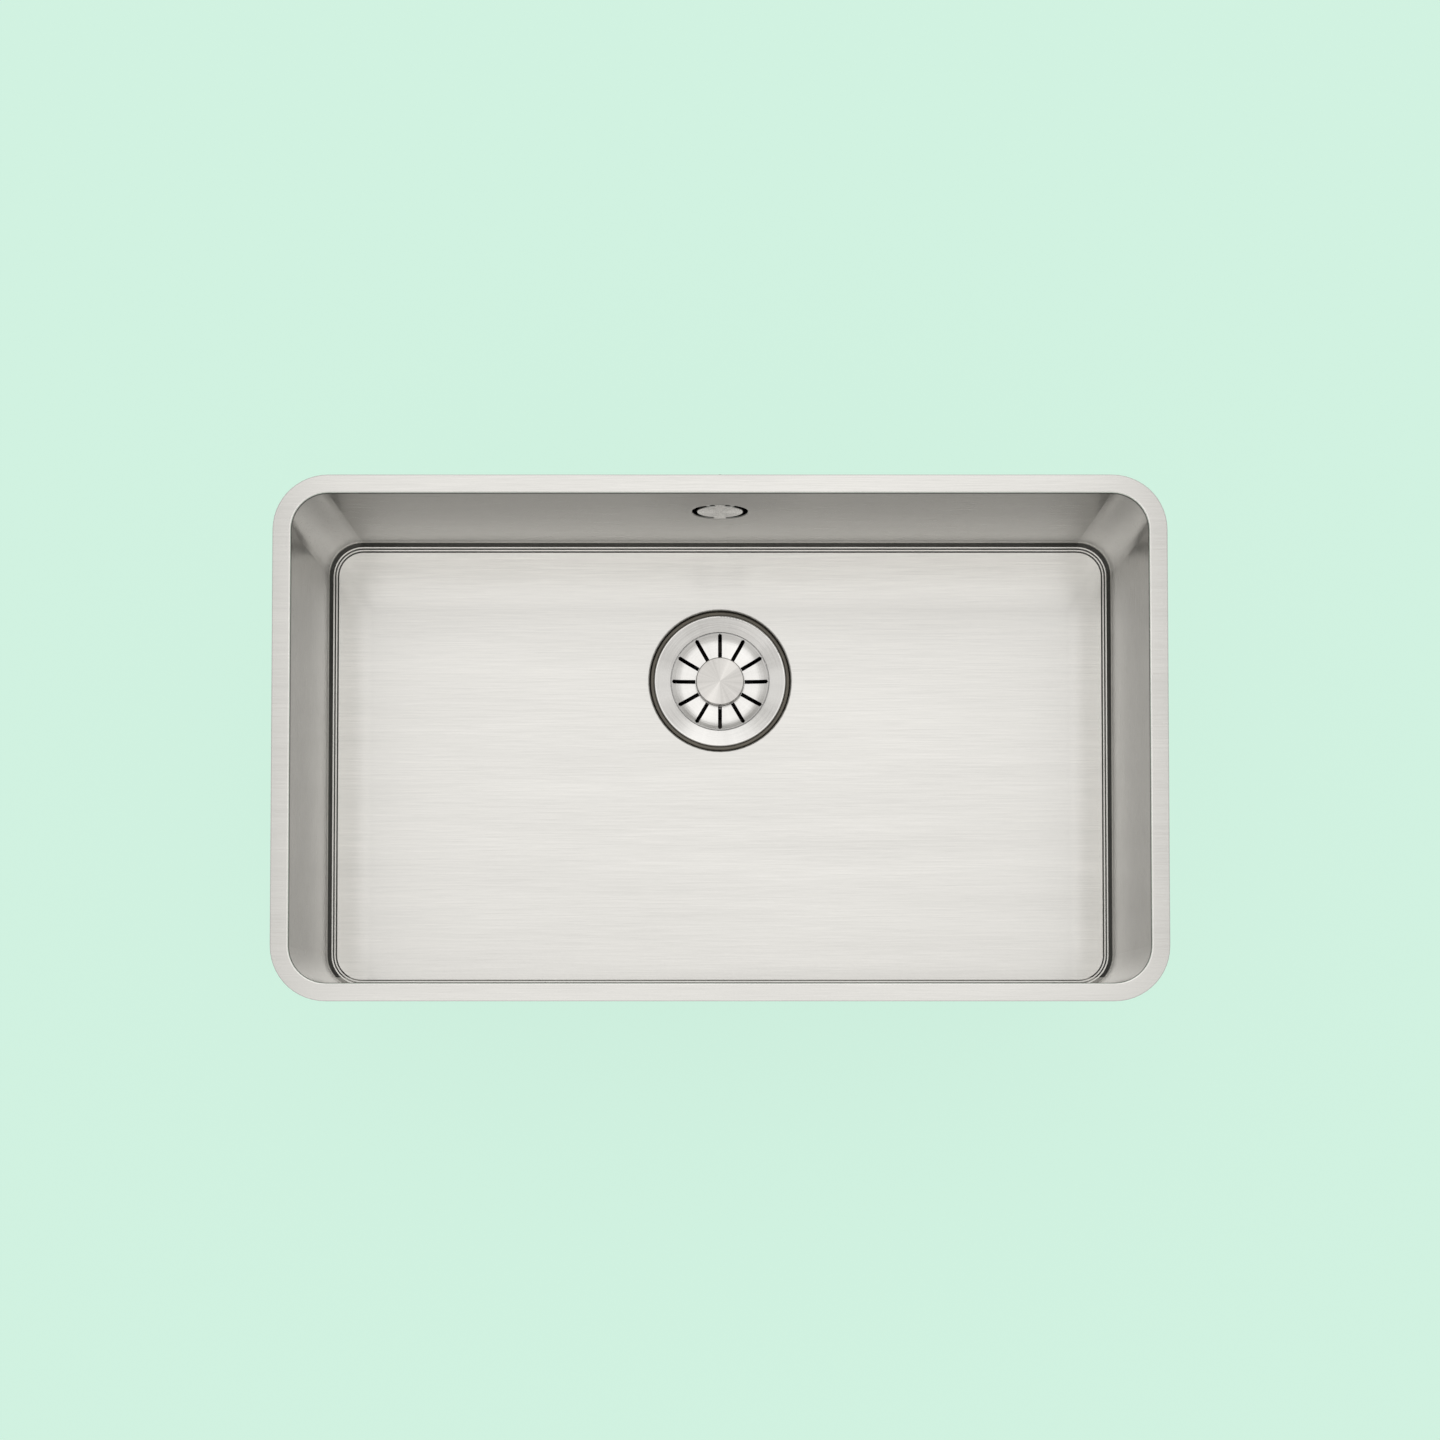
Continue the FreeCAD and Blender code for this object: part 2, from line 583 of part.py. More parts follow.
def flange_seal():
    """Seal that follows the flange's underside, with a round bead in the groove outside it."""
    inner = WASTE_HOLE + SEAL_INSET
    edge = WASTE_FLANGE_RADIUS - CUP_SHEET - SEAL_GAP
    bead_inner = WASTE_FLANGE_RADIUS + SEAL_GAP
    bead_outer = RECESS_RADIUS - RECESS_TAPER - SEAL_GAP
    bead_top = -WASTE_FLANGE_DROP - SEAL_BEAD_DROP
    slope = math.atan(WASTE_FLANGE_FALL / (WASTE_FLANGE_RADIUS - SHOULDER_RADIUS))
    depth = CUP_SHEET / math.cos(slope)
    return at_waste(turned(outline([(inner, -RECESS_DEPTH), (bead_outer - RECESS_EDGE_RADIUS, -RECESS_DEPTH),
                                    (bead_outer, -RECESS_DEPTH + RECESS_EDGE_RADIUS),
                                    (bead_outer, bead_top, SEAL_BEAD_ROUNDING),
                                    (bead_inner, bead_top, SEAL_BEAD_ROUNDING),
                                    (bead_inner, LIP_END_Z - SEAL_GAP), (edge, LIP_END_Z - SEAL_GAP),
                                    (edge, flange_fall(edge) - depth),
                                    (inner, flange_fall(inner) - depth)])))


def waste_gasket():
    return at_waste(ring(WASTE_HOLE + SEAL_INSET, WASTE_RING_RADIUS - SEAL_INSET / 2,
                         BODY_TOP_Z, BODY_TOP_Z + WASTE_GASKET))


def body_outside():
    """Top ring, round body, funnel and threaded tail."""
    outer = BODY_INNER + BODY_WALL
    relief = TAIL_RADIUS - TAIL_RELIEF
    return turned(outline([(0, BODY_TOP_Z), (WASTE_RING_RADIUS, BODY_TOP_Z, 1.0),
                           (WASTE_RING_RADIUS, BODY_TOP_Z - WASTE_RING_HEIGHT, 1.0),
                           (outer, BODY_TOP_Z - WASTE_RING_HEIGHT, 1.5),
                           (outer, -BODY_STRAIGHT, 6.0), (relief, TAIL_TOP_Z, 1.5),
                           (relief, TAIL_END_Z + TAIL_THREAD), (TAIL_RADIUS, TAIL_END_Z + TAIL_THREAD),
                           (TAIL_RADIUS, TAIL_END_Z), (0, TAIL_END_Z)]))


def gusset():
    """Three-cornered rib that braces the top ring against the body."""
    under = BODY_TOP_Z - WASTE_RING_HEIGHT
    root = BODY_INNER + BODY_WALL / 2
    tip = WASTE_RING_RADIUS - GUSSET_SETBACK
    side = outline([(root, under - GUSSET_HEIGHT), (BODY_INNER + BODY_WALL, under - GUSSET_HEIGHT),
                    (tip, under), (tip, under + GUSSET_SETBACK), (root, under + GUSSET_SETBACK)])
    side.translate(FreeCAD.Vector(0, -GUSSET_THICKNESS / 2, 0))
    return solid(side.extrude(FreeCAD.Vector(0, GUSSET_THICKNESS, 0)))


def body_inside():
    """Water way through the body."""
    return turned(outline([(0, BODY_TOP_Z), (BODY_INNER, BODY_TOP_Z), (BODY_INNER, -BODY_STRAIGHT, 5.0),
                           (TAIL_BORE, TAIL_TOP_Z, 5.0), (TAIL_BORE, TAIL_END_Z), (0, TAIL_END_Z)]))


def funnel_radius(height):
    """Inside radius of the body at a height."""
    share = (-BODY_STRAIGHT - height) / FUNNEL_HEIGHT
    return BODY_INNER - (BODY_INNER - TAIL_BORE) * max(share, 0.0)


def spigot(start, mouth, slope=0.0):
    """Outside and bore of a threaded spigot on the Z axis; its root may close in as a cone."""
    narrow = SPIGOT_RADIUS - slope
    outside = turned(outline([(0, start), (narrow, start), (SPIGOT_RADIUS, start + slope + 1.0),
                              (SPIGOT_RADIUS, mouth), (0, mouth)]))
    wall = SPIGOT_RADIUS - SPIGOT_BORE
    bore = turned(outline([(0, start + wall), (narrow - wall, start + wall),
                           (SPIGOT_BORE, start + wall + slope + 1.0), (SPIGOT_BORE, mouth - SPIGOT_CHAMFER),
                           (SPIGOT_BORE + SPIGOT_CHAMFER, mouth), (0, mouth)]))
    return outside, bore


def at_inlet(shape):
    """From the spigot's own frame to the inlet at the rear of the waste body."""
    shape.rotate(CENTRE, ACROSS, -90)
    shape.translate(FreeCAD.Vector(0, 0, INLET_Z))
    return shape


def waste_body():
    """Moulded body with the overflow inlet, and pockets in its wall for the bridge's feet."""
    outside, bore = spigot((BODY_INNER + BODY_WALL) / 2, INLET_MOUTH)
    pocket = beam(WEB_THICKNESS + 2 * FOOT_GAP, TAIL_RADIUS, BODY_INNER + FOOT_REACH + FOOT_GAP,
                  WEB_TOP_Z - FOOT_HEIGHT - FOOT_GAP, WEB_TOP_Z)
    pockets = round_the_axis(pocket, WEB_COUNT, WEB_START)
    gussets = round_the_axis(gusset(), GUSSET_COUNT, GUSSET_START)
    body = body_outside().multiFuse(gussets + [at_inlet(outside)])
    body = body.cut([body_inside(), at_inlet(bore)] + pockets)
    return at_waste(body.removeSplitter())


def bridge_web():
    """One web, from the boss's wall to its foot in the body's wall."""
    bottom = WEB_TOP_Z - WEB_HEIGHT
    foot = WEB_TOP_Z - FOOT_HEIGHT
    root = (INSERT_RADIUS + BOSS_RADIUS) / 2
    side = outline([(root, bottom), (funnel_radius(bottom) - WEB_FUNNEL_GAP, bottom),
                    (BODY_INNER - WEB_FUNNEL_GAP, foot), (BODY_INNER + FOOT_REACH, foot),
                    (BODY_INNER + FOOT_REACH, WEB_TOP_Z), (root, WEB_TOP_Z)])
    side.translate(FreeCAD.Vector(0, -WEB_THICKNESS / 2, 0))
    return solid(side.extrude(FreeCAD.Vector(0, WEB_THICKNESS, 0)))


def screw_bridge():
    """Boss that takes the screw, carried by three webs whose feet sit under the body's wall."""
    boss = ring(SCREW_HOLE, BOSS_RADIUS, BOSS_TOP_Z - BOSS_HEIGHT, BOSS_TOP_Z)
    boss = boss.cut(rod(INSERT_RADIUS, BOSS_TOP_Z - BOSS_HEIGHT + BOSS_CAP, BOSS_TOP_Z - BOSS_CAP))
    bridge = boss.multiFuse(round_the_axis(bridge_web(), WEB_COUNT, WEB_START))
    return at_waste(bridge.removeSplitter())


def screw_insert():
    return at_waste(ring(INSERT_BORE, INSERT_RADIUS, BOSS_TOP_Z - BOSS_HEIGHT + BOSS_CAP,
                         BOSS_TOP_Z - BOSS_CAP))


def waste_screw():
    """Hollow screw with a slotted head that clamps the cup to the body."""
    end = CUP_FLOOR_Z - SCREW_LENGTH
    screw = turned(outline([(SCREW_BORE, end), (SCREW_RADIUS, end, 0.8), (SCREW_RADIUS, CUP_FLOOR_Z),
                            (SCREW_HEAD_RADIUS, CUP_FLOOR_Z), (SCREW_HEAD_RADIUS, HEAD_TOP_Z, 0.8),
                            (SCREW_BORE, HEAD_TOP_Z)]))
    slot = beam(SCREW_SLOT_WIDTH, -2 * SCREW_HEAD_RADIUS, 2 * SCREW_HEAD_RADIUS,
                HEAD_TOP_Z - SCREW_SLOT_DEPTH, HEAD_TOP_Z + SCREW_SLOT_DEPTH)
    return at_waste(screw.cut(slot))


# ------------------------------------------------------------------ strainer and plunger
def dish_slot():
    """Radial slot with round ends, cut straight down."""
    radius = SLOT_WIDTH / 2
    outer = DISH_RADIUS - SLOT_RIM
    corners = [(SLOT_INNER, -radius, radius), (outer, -radius, radius),
               (outer, radius, radius), (SLOT_INNER, radius, radius)]
    slot = outline(corners, level).extrude(UP * CUP_DEPTH)
    slot.translate(FreeCAD.Vector(0, 0, -CUP_DEPTH))
    return solid(slot)


def strainer_dish():
    """Spun dish: narrow lip, curved wall, gentle slope to the hub, and twelve slots."""
    foot_radius = DISH_RADIUS - DISH_LIP - DISH_WALL_WIDTH
    foot_z = MOUTH_Z - DISH_WALL_DROP
    path = [(DISH_RADIUS, MOUTH_Z),
            (DISH_RADIUS - DISH_LIP, MOUTH_Z, 0.8),
            (foot_radius, foot_z, DISH_FOOT_RADIUS),
            (KNOB_RADIUS, foot_z - DISH_SLOPE_DROP, 4.0),
            (DISH_HUB_RADIUS, HUB_TOP_Z, 2.0),
            (BUSH_RADIUS + BUSH_FIT, HUB_TOP_Z)]
    dish = turned(sheet(path, DISH_SHEET))
    return at_waste(dish.cut(round_the_axis(dish_slot(), SLOT_COUNT)))


def guide_bush():
    """Flanged sleeve through the dish's hub, long enough to keep the stem upright."""
    return at_waste(turned(outline([(BUSH_BORE, BUSH_END_Z), (BUSH_RADIUS, BUSH_END_Z),
                                    (BUSH_RADIUS, HUB_TOP_Z), (BUSH_FLANGE_RADIUS, HUB_TOP_Z),
                                    (BUSH_FLANGE_RADIUS, BUSH_TOP_Z, 0.4), (BUSH_BORE, BUSH_TOP_Z)])))


def bush_nut():
    """Thin six-sided nut under the dish."""
    corner = NUT_FLATS / math.sqrt(3)
    corners = [(corner * math.cos(math.radians(60 * i)), corner * math.sin(math.radians(60 * i)))
               for i in range(6)]
    nut = outline(corners, level).extrude(-UP * NUT_HEIGHT)
    nut.translate(FreeCAD.Vector(0, 0, NUT_TOP_Z))
    return at_waste(solid(nut).cut(rod(BUSH_RADIUS + THREAD_GAP, NUT_TOP_Z - 2 * NUT_HEIGHT, NUT_TOP_Z + 1)))


def knob():
    """Flat round cap with a hollow underside and a neck that takes the stem."""
    under = KNOB_TOP_Z - KNOB_THICKNESS
    return at_waste(turned(outline([(0, KNOB_TOP_Z), (0, STEM_TOP_Z), (STEM_BORE, STEM_TOP_Z),
                                    (STEM_BORE, NECK_END_Z), (KNOB_NECK_RADIUS, NECK_END_Z, 0.5),
                                    (KNOB_NECK_RADIUS, under + KNOB_RIM_DEPTH, 0.6),
                                    (KNOB_RADIUS - KNOB_RIM_WIDTH, under + KNOB_RIM_DEPTH, 0.6),
                                    (KNOB_RADIUS - KNOB_RIM_WIDTH, under, 0.5),
                                    (KNOB_RADIUS, under, 0.6),
                                    (KNOB_RADIUS, KNOB_TOP_Z, KNOB_EDGE_RADIUS)])))


def knob_stem():
    return at_waste(turned(outline([(0, STEM_TOP_Z), (0, STEM_END_Z), (STEM_BUTTON_RADIUS, STEM_END_Z, 0.6),
                                    (STEM_BUTTON_RADIUS, CATCH_END_Z), (STEM_NECK_RADIUS, CATCH_END_Z),
                                    (STEM_NECK_RADIUS, CATCH_TOP_Z), (STEM_RADIUS, CATCH_TOP_Z),
                                    (STEM_RADIUS, STEM_TOP_Z, 0.4)])))


def stem_catch():
    """Split sleeve on the stem's neck that grips the hollow screw."""
    sleeve = ring(STEM_NECK_RADIUS + STEM_FIT, STEM_RADIUS, CATCH_END_Z + STEM_FIT, CATCH_TOP_Z - STEM_FIT)
    slit = beam(CATCH_SLIT_WIDTH, 0, 2 * STEM_RADIUS, CATCH_END_Z, CATCH_TOP_Z - CATCH_LENGTH / 4)
    return at_waste(sleeve.cut(round_the_axis(slit, CATCH_SLITS)))


def plate_path():
    """Top side of the stopper plate, from its rim to the stem."""
    return [(STOPPER_PLATE_RADIUS, PLATE_TOP_Z - STOPPER_PLATE_FALL),
            (STOPPER_PLATE_FLAT, PLATE_TOP_Z, 2.0),
            (STEM_BORE, PLATE_TOP_Z)]


def stopper_plate():
    return at_waste(turned(sheet(plate_path(), STOPPER_PLATE_SHEET)))


def stopper_seal():
    """Rubber ring moulded round the plate's rim, with a lip that closes on the cup's floor."""
    top = PLATE_TOP_Z - STOPPER_PLATE_FALL + STOPPER_SEAL_TOP
    under = top - STOPPER_PLATE_SHEET - 2 * STOPPER_SEAL_TOP
    lip = STOPPER_SEAL_RADIUS - STOPPER_LIP_WIDTH
    rubber = turned(outline([(STOPPER_SEAL_INNER, under), (lip - 1.0, under), (lip, SEAL_END_Z, 0.5),
                             (STOPPER_SEAL_RADIUS, SEAL_END_Z, 0.6), (STOPPER_SEAL_RADIUS, top, 1.2),
                             (STOPPER_SEAL_INNER, top)]))
    return at_waste(rubber.cut(turned(sheet(plate_path(), STOPPER_PLATE_SHEET))))


# ------------------------------------------------------------------ overflow, +Z out through the wall
def bridge(direction, span, front, back):
    """Piece of a ring between the cover's disc and the recess, seen from inside the bowl."""
    reach = OVERFLOW_RADIUS - COVER_GAP
    lane = ring(COVER_RADIUS - 2 * COVER_EDGE_RADIUS, reach, front, back)
    side = 2 * reach * math.tan(math.radians(span / 2))
    wedge = outline([(0, 0), (2 * reach, -side), (2 * reach, side)], level).extrude(UP * back * 2)
    wedge = solid(wedge)
    wedge.rotate(CENTRE, UP, -direction)
    return lane.common(wedge)


def overflow_cover():
    """Flush disc with two wide and two narrow bridges to the recess's edge."""
    disc = turned(outline([(0, 0), (COVER_RADIUS, 0, COVER_EDGE_RADIUS), (COVER_RADIUS, COVER_THICKNESS),
                           (0, COVER_THICKNESS)]))
    bridges = [bridge(direction, span, 0.0, COVER_THICKNESS) for direction, span in WIDE_BRIDGES]
    bridges += [bridge(direction, span, NARROW_SETBACK, COVER_THICKNESS)
                for direction, span in NARROW_BRIDGES]
    return at_overflow(disc.multiFuse(bridges).removeSplitter())


def cover_clip():
    """Slit spring sleeve behind the cover, held in the insert."""
    end = COVER_THICKNESS + CLIP_LENGTH
    sleeve = turned(outline([(CLIP_RADIUS - CLIP_WALL, COVER_THICKNESS), (CLIP_RADIUS, COVER_THICKNESS),
                             (CLIP_RADIUS, end, 0.7), (CLIP_RADIUS - CLIP_WALL, end)]))
    slit = beam(CLIP_SLIT_WIDTH, 0, 2 * CLIP_RADIUS, end - CLIP_LENGTH * 3 / 4, end + 1)
    return at_overflow(sleeve.cut(round_the_axis(slit, CLIP_SLITS)))


def overflow_insert():
    """Flanged sleeve through the hole, with spokes and a boss for the screw."""
    inner = SLEEVE_RADIUS - INSERT_SLEEVE_WALL
    front = OVERFLOW_DEPTH - INSERT_FLANGE
    sleeve = turned(outline([(inner, front, 0.6), (INSERT_FLANGE_RADIUS, front, 0.6),
                             (INSERT_FLANGE_RADIUS, OVERFLOW_DEPTH), (SLEEVE_RADIUS, OVERFLOW_DEPTH),
                             (SLEEVE_RADIUS, SLEEVE_END, 0.5), (inner, SLEEVE_END)]))
    boss = rod(SPOKE_BOSS_RADIUS, OVERFLOW_DEPTH, SLEEVE_END)
    spoke = beam(SPOKE_WIDTH, 0, (inner + SLEEVE_RADIUS) / 2, SLEEVE_END - SPOKE_HEIGHT, SLEEVE_END)
    insert = sleeve.multiFuse([boss] + round_the_axis(spoke, SPOKE_COUNT, -90.0))
    insert = insert.cut(rod(OVERFLOW_SCREW_RADIUS + SCREW_CLEARANCE, 0, 2 * SLEEVE_END))
    return at_overflow(insert.removeSplitter())


def overflow_screw():
    """Round-headed screw from the insert's boss to the housing."""
    front = OVERFLOW_DEPTH - OVERFLOW_SCREW_HEAD_HEIGHT
    socket = OVERFLOW_SCREW_HEAD / 3
    screw = turned(outline([(0, front), (OVERFLOW_SCREW_HEAD, front, 1.2),
                            (OVERFLOW_SCREW_HEAD, OVERFLOW_DEPTH), (OVERFLOW_SCREW_RADIUS, OVERFLOW_DEPTH),
                            (OVERFLOW_SCREW_RADIUS, OVERFLOW_SCREW_END, 0.5), (0, OVERFLOW_SCREW_END)]))
    cross = [beam(socket / 2, -socket, socket, front, front + socket),
             beam(2 * socket, -socket / 4, socket / 4, front, front + socket)]
    return at_overflow(screw.cut(cross))


def overflow_gasket():
    return at_overflow(ring(OVERFLOW_HOLE + 1.0, GASKET_RADIUS, RECESS_BACK, HOUSING_FRONT))


def at_downpipe(shape):
    """From a spigot's own frame to the housing's spigot, which points down."""
    shape.rotate(CENTRE, ACROSS, -90)
    shape.translate(FreeCAD.Vector(0, 0, PIPE_DEPTH))
    return shape


def overflow_housing():
    """Moulded pot behind the wall with a spigot that points down."""
    inner = HOUSING_RADIUS - HOUSING_WALL
    root = HOUSING_RADIUS - HOUSING_SHOULDER
    outside, bore = spigot(root, HOUSING_RADIUS + SPIGOT_LENGTH, HOUSING_SHOULDER - HOUSING_WALL)
    pot = turned(outline([(0, HOUSING_FRONT), (HOUSING_RADIUS, HOUSING_FRONT, 0.8),
                          (HOUSING_RADIUS, HOUSING_BACK, 4.0), (0, HOUSING_BACK)]))
    room = turned(outline([(0, HOUSING_FRONT + HOUSING_WALL), (inner, HOUSING_FRONT + HOUSING_WALL),
                           (inner, HOUSING_BACK - HOUSING_WALL, 2.0), (0, HOUSING_BACK - HOUSING_WALL)]))
    opening = rod(SLEEVE_RADIUS + HOUSING_OPENING_GAP, HOUSING_FRONT - 1, HOUSING_FRONT + 2 * HOUSING_WALL)
    boss = ring(OVERFLOW_INSERT_RADIUS, HOUSING_BOSS_RADIUS, OVERFLOW_INSERT_FRONT,
                HOUSING_BACK - HOUSING_WALL / 2)
    housing = pot.fuse(at_downpipe(outside)).cut([room, at_downpipe(bore), opening]).fuse(boss)
    return at_overflow(housing.removeSplitter())


def housing_insert():
    return at_overflow(ring(OVERFLOW_INSERT_BORE, OVERFLOW_INSERT_RADIUS, OVERFLOW_INSERT_FRONT,
                            OVERFLOW_SCREW_END))


# ------------------------------------------------------------------ overflow pipe and unions
def union_nut():
    """Ribbed nut that pulls the seal into the spigot's mouth."""
    thread = SPIGOT_RADIUS + NUT_THREAD_GAP
    outer = thread + UNION_NUT_WALL
    front = UNION_NUT_LENGTH - UNION_NUT_BACK
    nut = turned(outline([(thread, -UNION_NUT_BACK), (outer, -UNION_NUT_BACK, 0.8), (outer, front, 1.2),
                          (SPIGOT_BORE, front), (SPIGOT_BORE, front - UNION_NUT_END),
                          (thread, front - UNION_NUT_END)]))
    rib = beam(GRIP_RIB_WIDTH, outer - UNION_NUT_WALL / 2, outer + GRIP_RIB_HEIGHT,
               1 - UNION_NUT_BACK, front - UNION_NUT_END)
    return nut.multiFuse(round_the_axis(rib, GRIP_RIBS))


def cone_seal():
    """Tapered rubber ring between the pipe, the spigot's chamfer and the nut."""
    inner = PIPE_RADIUS + STEM_FIT
    outer = SPIGOT_BORE - STEM_FIT
    end = UNION_NUT_LENGTH - UNION_NUT_BACK - UNION_NUT_END
    return turned(outline([(inner, -SPIGOT_CHAMFER), (outer, -SPIGOT_CHAMFER), (outer + SPIGOT_CHAMFER, 0),
                           (outer + SPIGOT_CHAMFER, end), (inner, end)]))


def at_lower_union(shape):
    shape.translate(UP * INLET_MOUTH)
    return at_waste(at_inlet(shape))


def at_upper_union(shape):
    shape.translate(UP * (HOUSING_RADIUS + SPIGOT_LENGTH))
    return at_overflow(at_downpipe(shape))


def pipe_run(radius):
    """Round bar along the pipe's route: back from the inlet, one bend, up to the housing."""
    low = INLET_Z - BOWL_DEPTH
    start = FreeCAD.Vector(0, WASTE_Y + INLET_MOUTH - PIPE_INSERTION, low)
    turn = FreeCAD.Vector(0, PIPE_Y - PIPE_BEND, low)
    centre = turn + UP * PIPE_BEND
    rise = FreeCAD.Vector(0, PIPE_Y, low + PIPE_BEND)
    backwards = FreeCAD.Vector(0, 1, 0)
    disc = Part.Face(Part.Wire(Part.makeCircle(radius, turn, backwards)))
    bend = solid(disc.revolve(centre, ACROSS, 90))
    lower = Part.makeCylinder(radius, (turn - start).Length, start, backwards)
    upper = Part.makeCylinder(radius, UPPER_MOUTH_Z + PIPE_INSERTION - rise.z, rise, UP)
    return lower.multiFuse([bend, upper])


def overflow_pipe():
    return pipe_run(PIPE_RADIUS).cut(pipe_run(PIPE_RADIUS - PIPE_WALL)).removeSplitter()


# ------------------------------------------------------------------ files
PIECES = {
    "bowl": bowl,
    "floor_pad_front": floor_pad_front,
    "floor_pad_left": lambda: floor_pad_beside(-1),
    "floor_pad_right": lambda: floor_pad_beside(1),
    "front_wall_pad": front_wall_pad,
    "rear_wall_pads": rear_wall_pads,
    "left_wall_pad": lambda: side_wall_pad(-1),
    "right_wall_pad": lambda: side_wall_pad(1),
    "waste_flange": waste_flange,
    "flange_seal": flange_seal,
    "waste_gasket": waste_gasket,
    "waste_body": waste_body,
    "screw_bridge": screw_bridge,
    "screw_insert": screw_insert,
    "waste_screw": waste_screw,
    "strainer_dish": strainer_dish,
    "guide_bush": guide_bush,
    "bush_nut": bush_nut,
    "knob": knob,
    "knob_stem": knob_stem,
    "stem_catch": stem_catch,
    "stopper_plate": stopper_plate,
    "stopper_seal": stopper_seal,
    "overflow_cover": overflow_cover,
    "cover_clip": cover_clip,
    "overflow_insert": overflow_insert,
    "overflow_screw": overflow_screw,
    "overflow_gasket": overflow_gasket,
    "overflow_housing": overflow_housing,
    "housing_insert": housing_insert,
    "overflow_pipe": overflow_pipe,
    "lower_union_nut": lambda: at_lower_union(union_nut()),
    "lower_cone_seal": lambda: at_lower_union(cone_seal()),
    "upper_union_nut": lambda: at_upper_union(union_nut()),
    "upper_cone_seal": lambda: at_upper_union(cone_seal()),
}


def main():
    os.makedirs("parts", exist_ok=True)
    for name, make in PIECES.items():
        shape = make()
        shape.exportStep("parts/" + name + ".step")
        print(name, "solids", len(shape.Solids), "faces", len(shape.Faces), "valid", shape.isValid(),
              "volume", round(shape.Volume))


main()
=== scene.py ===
"""Undermount stainless kitchen sink: finishes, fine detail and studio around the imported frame."""
import logging
import math
from dataclasses import dataclass, field
from enum import Enum
from typing import Any, Optional

import bpy
from mathutils import Matrix, Vector


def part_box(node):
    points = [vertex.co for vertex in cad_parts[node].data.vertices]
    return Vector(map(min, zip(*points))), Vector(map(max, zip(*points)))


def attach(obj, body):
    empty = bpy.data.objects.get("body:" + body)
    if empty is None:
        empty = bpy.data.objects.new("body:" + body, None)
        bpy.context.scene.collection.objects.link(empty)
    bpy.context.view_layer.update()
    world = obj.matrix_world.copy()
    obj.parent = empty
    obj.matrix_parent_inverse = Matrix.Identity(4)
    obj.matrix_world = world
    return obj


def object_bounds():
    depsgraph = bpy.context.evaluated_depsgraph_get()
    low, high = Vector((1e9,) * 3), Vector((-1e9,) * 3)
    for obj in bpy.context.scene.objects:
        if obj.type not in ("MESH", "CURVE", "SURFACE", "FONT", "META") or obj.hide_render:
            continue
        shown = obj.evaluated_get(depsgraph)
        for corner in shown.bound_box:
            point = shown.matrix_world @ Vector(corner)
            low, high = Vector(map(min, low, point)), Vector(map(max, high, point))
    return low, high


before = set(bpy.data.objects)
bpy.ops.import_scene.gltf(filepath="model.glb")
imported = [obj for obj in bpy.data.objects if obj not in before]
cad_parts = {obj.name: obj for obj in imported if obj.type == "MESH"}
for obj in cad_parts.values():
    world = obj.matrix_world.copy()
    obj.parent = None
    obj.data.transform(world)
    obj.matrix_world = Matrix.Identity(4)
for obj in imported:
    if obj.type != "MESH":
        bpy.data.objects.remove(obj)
CAD_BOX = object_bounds()

LOG = logging.getLogger("sink")
MM = 0.001
NOISE_MIDDLE = (0.3, 0.7)            # where most values of a noise lie

Link = bpy.types.NodeSocket
Tree = bpy.types.NodeTree
Colour = tuple[float, float, float, float]


class Axis(Enum):
    """The axis that a turned or spun surface was made round."""

    UPRIGHT = "upright"
    THROUGH_WALL = "through wall"


class Body(Enum):
    """The bodies of the sink that pieces ride on."""

    SINK = "sink"
    STRAINER = "strainer"
    PLUNGER = "plunger"
    COVER = "cover"


# ---------------------------------------------------------------- nodes and colours
def linear(hex_colour: str, strength: float = 1.0) -> Colour:
    """Turns an sRGB hex colour into linear light.

    Args:
        hex_colour: The colour as "#RRGGBB".
        strength: A factor on all three channels.

    Returns:
        Red, green, blue and alpha for a node socket.
    """
    channels = []
    for place in (1, 3, 5):
        value = int(hex_colour[place:place + 2], 16) / 255
        value = value / 12.92 if value <= 0.04045 else ((value + 0.055) / 1.055) ** 2.4
        channels.append(value * strength)
    return (channels[0], channels[1], channels[2], 1.0)


def add(tree: Tree, kind: str, sockets: Optional[dict[Any, Any]] = None, **settings: Any) -> bpy.types.Node:
    """Adds one node.

    Args:
        tree: The node tree that takes it.
        kind: The node's type.
        sockets: What goes into its inputs, by name or number: a link or a plain value.
        settings: The node's own settings.

    Returns:
        The new node.
    """
    node = tree.nodes.new(kind)
    for name, value in settings.items():
        setattr(node, name, value)
    for key, value in (sockets or {}).items():
        if isinstance(value, Link):
            tree.links.new(value, node.inputs[key])
        else:
            node.inputs[key].default_value = value
    return node


def blank_material(name: str) -> tuple[bpy.types.Material, Tree]:
    """Makes an empty node material.

    Args:
        name: The material's name.

    Returns:
        The material and its tree.
    """
    material = bpy.data.materials.new(name)
    material.use_nodes = True
    material.node_tree.nodes.clear()
    return material, material.node_tree


def calc(tree: Tree, operation: str, *values: Any, clamp: bool = False) -> Link:
    """Adds one step of arithmetic.

    Args:
        tree: The node tree.
        operation: The step.
        values: What goes into it, links or plain numbers.
        clamp: Keeps the result between 0 and 1.

    Returns:
        The result.
    """
    step = add(tree, "ShaderNodeMath", dict(enumerate(values)), operation=operation, use_clamp=clamp)
    return step.outputs[0]


def vector(tree: Tree, operation: str, *values: Any) -> Link:
    """Adds one step of vector arithmetic.

    Args:
        tree: The node tree.
        operation: The step.
        values: What goes into it, links or plain vectors.

    Returns:
        The result, a number for a length or a dot product and otherwise a vector.
    """
    step = add(tree, "ShaderNodeVectorMath", dict(enumerate(values)), operation=operation)
    return step.outputs["Value" if operation in ("LENGTH", "DOT_PRODUCT") else "Vector"]


